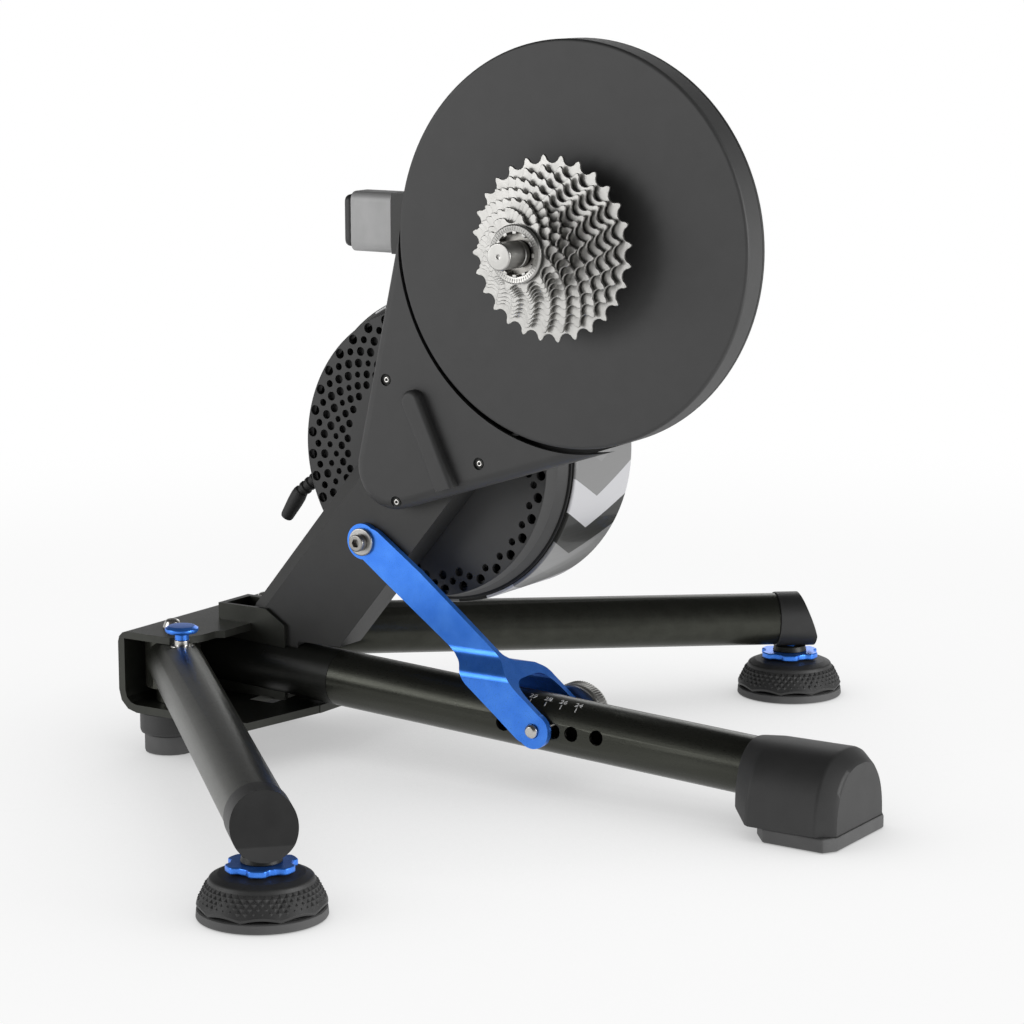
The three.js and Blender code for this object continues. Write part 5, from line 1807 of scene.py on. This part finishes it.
def make_neck(side):
    """The dark nut between the star and the tube's end cap."""
    bottom = node_box(side + "_foot_dome")[1].z + STAR_THICKNESS + 0.5
    top = min(node_box(side + "_foot_star")[1].z, bottom + NECK_HEIGHT)
    profile = [(5.2, bottom), (12.5, bottom), (11.5, top), (5.2, top)]
    made = turned(side + "_foot_neck", rounded(profile, 0.6, 3), axis="Z")
    return on_node(made, side + "_foot_dome")


for side in SIDES:
    finish_piece(make_neck(side), side + "_grip", MATERIALS["socket_black"])
    stands_for(make_dome(side), side + "_foot_dome", "foot_plastic", 25)
    stands_for(make_pad(side), side + "_foot_pad", "pad_grey")
    stands_for(make_star(side), side + "_foot_star", "blue_anodised")
print("feet stand at", [tuple(round(v) for v in middle_of(side + "_foot_pad")) for side in SIDES])


# %% [markdown]
# ## Strut and lock pin
# The blue strut is bent from one plate and sets the height of the arm. Its upper end turns on a
# socket bolt over a bright washer; its fork straddles the centre tube, and a long pin through the
# fork drops into one of the tube's holes. The pin is drawn out by a knurled knob on the far side.
# The strut could be bent from a flat mesh step by step. It is easier as the overlap of two
# plates: its bends seen along the bike, and its outline seen from the side, written in shares of
# the distance between its two holes.

# %% Strut
EYE = (-172.2, 153.3)
EYE_RADIUS = 12.2
STRUT_SPREAD = 142.2
STRUT_NEAR, STRUT_BACK = -14, -9.4
FORK, FORK_INSIDE = 25, 20.5
PIN_HOLE, BOLT_HOLE = 5, 4.3
STRUT_SIDE_SHARES = [
    (-0.06, 0.05), (-0.045, -0.05), (0.118, -0.172), (0.576, -0.503), (0.621, -0.585),
    (0.801, -0.726), (0.93, -0.83), (1.02, -0.84), (1.082, -0.775), (1.057, -0.71),
    (0.902, -0.587), (0.797, -0.481), (0.331, -0.115), (0.06, 0.075),
]
STRUT_BENDS = [
    (STRUT_NEAR, 180, 0), (STRUT_NEAR, 88, 9), (-FORK, 76, 9), (-FORK, 0, 0),
    (-FORK_INSIDE, 0, 0), (-FORK_INSIDE, 74, 13), (FORK_INSIDE, 74, 13), (FORK_INSIDE, 0, 0),
    (FORK, 0, 0), (FORK, 74, 9), (15.5, 79.5, 9), (-4.4, 84, 9), (STRUT_BACK, 88, 4),
    (STRUT_BACK, 180, 0),
]


def make_strut():
    """The bends seen along the bike, kept only inside the outline seen from the side."""
    pin = middle_of("lock_pin", "Y")
    half, room = FORK + 5, 40
    bends = rounded([(y, z) for y, z, turn in STRUT_BENDS], [turn for y, z, turn in STRUT_BENDS], 8)
    made = plate("strut_bent", bends, EYE[0] - room, pin[0] + room, "X")
    outline = [(EYE[0] + u * STRUT_SPREAD, EYE[1] + v * STRUT_SPREAD) for u, v in STRUT_SIDE_SHARES]
    side = plate("strut_side", rounded(outline, 14, 8), -half, half)
    upper = drill(EYE_RADIUS, EYE, -half, half, FINE)
    lower = drill(EYE_RADIUS - 0.2, pin, -half, half, FINE)
    made = combined(made, [joined(side, upper, lower)], "INTERSECT")
    pin_hole = drill(PIN_HOLE, pin, -room, room, MEDIUM)
    return bevelled(cut(made, pin_hole, drill(BOLT_HOLE, EYE, -room, room, MEDIUM)), 0.8, 3, 50)


strut = stands_for(make_strut(), "strut", "blue_anodised", 24)
print("strut", len(strut.data.polygons), "faces")


# %% Bolt, pin and knob
KNURL_RIDGES = 72


def make_strut_bolt():
    low, high = node_box("strut_bolt")
    centre = middle_of("strut_bolt", "Y")
    radius = radius_of("strut_bolt") - 0.7
    seat = low.y + 5
    profile = [(0, low.y), (radius, low.y), (radius, seat), (4, seat), (4, high.y), (0, high.y)]
    made = turned("strut_bolt_turned", rounded(profile, [0, 1.1, 0.3, 0.2, 0.6, 0], 5), centre)
    socket = [(0, low.y - 1), (3.1, low.y - 1), (3.1, low.y + 3), (0, low.y + 3)]
    return cut(made, turned("socket", socket, centre, steps=6))


def make_pin():
    low, high = node_box("lock_pin")
    radius = (high.z - low.z) / 2
    tip = 1.6
    profile = [(0, low.y), (radius - tip, low.y), (radius, low.y + tip), (radius, high.y), (0, high.y)]
    profile = rounded(profile, [0, 1, 1, 0.3, 0], 4)
    return turned("lock_pin_turned", profile, middle_of("lock_pin", "Y"))


def make_pin_knob():
    low, high = node_box("pin_knob")
    radius = radius_of("pin_knob") - 0.5
    grip = high.y - 12
    profile = [
        (4.9, low.y), (8, low.y), (8, grip), (radius, grip), (radius, high.y),
        (10, high.y), (9, high.y - 1.2), (0, high.y - 1.2), (0, high.y - 3), (4.9, high.y - 3),
    ]
    radii = [0, 0.4, 0.6, 2.2, 2.2, 0.5, 0.5, 0, 0, 0]
    centre = middle_of("pin_knob", "Y")
    shell = turned("knob", rounded(profile, radii, 5), centre)
    ridge = plate("ridge", [(-0.6, -0.75), (0.55, 0), (-0.6, 0.75)], -4.2, 4.2, "Z")
    spot = (centre[0], (grip + high.y) / 2, centre[1])
    ridges = stand(ring_of("ridges", ridge, KNURL_RIDGES, radius, 0, "steel_bright"), spot)
    bpy.data.objects.remove(ridge)
    return together("pin_knob_knurled", [shell, ridges])


stands_for(make_strut_bolt(), "strut_bolt", "steel_grey")
tube_piece("strut_washer", 4.4, "nickel", [0.3, 0.9, 0.3, 0.2])
stands_for(make_pin(), "lock_pin", "steel_bright")
stands_for(make_pin_knob(), "pin_knob", "nickel", 25)
print("pin at", tuple(round(value, 1) for value in middle_of("lock_pin", "Y")))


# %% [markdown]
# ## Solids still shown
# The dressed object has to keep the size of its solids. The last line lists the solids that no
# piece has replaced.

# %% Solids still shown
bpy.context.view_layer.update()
shown = [name for name, node in frame["nodes"].items() if not node.hide_render]
print("solids still shown:", shown)
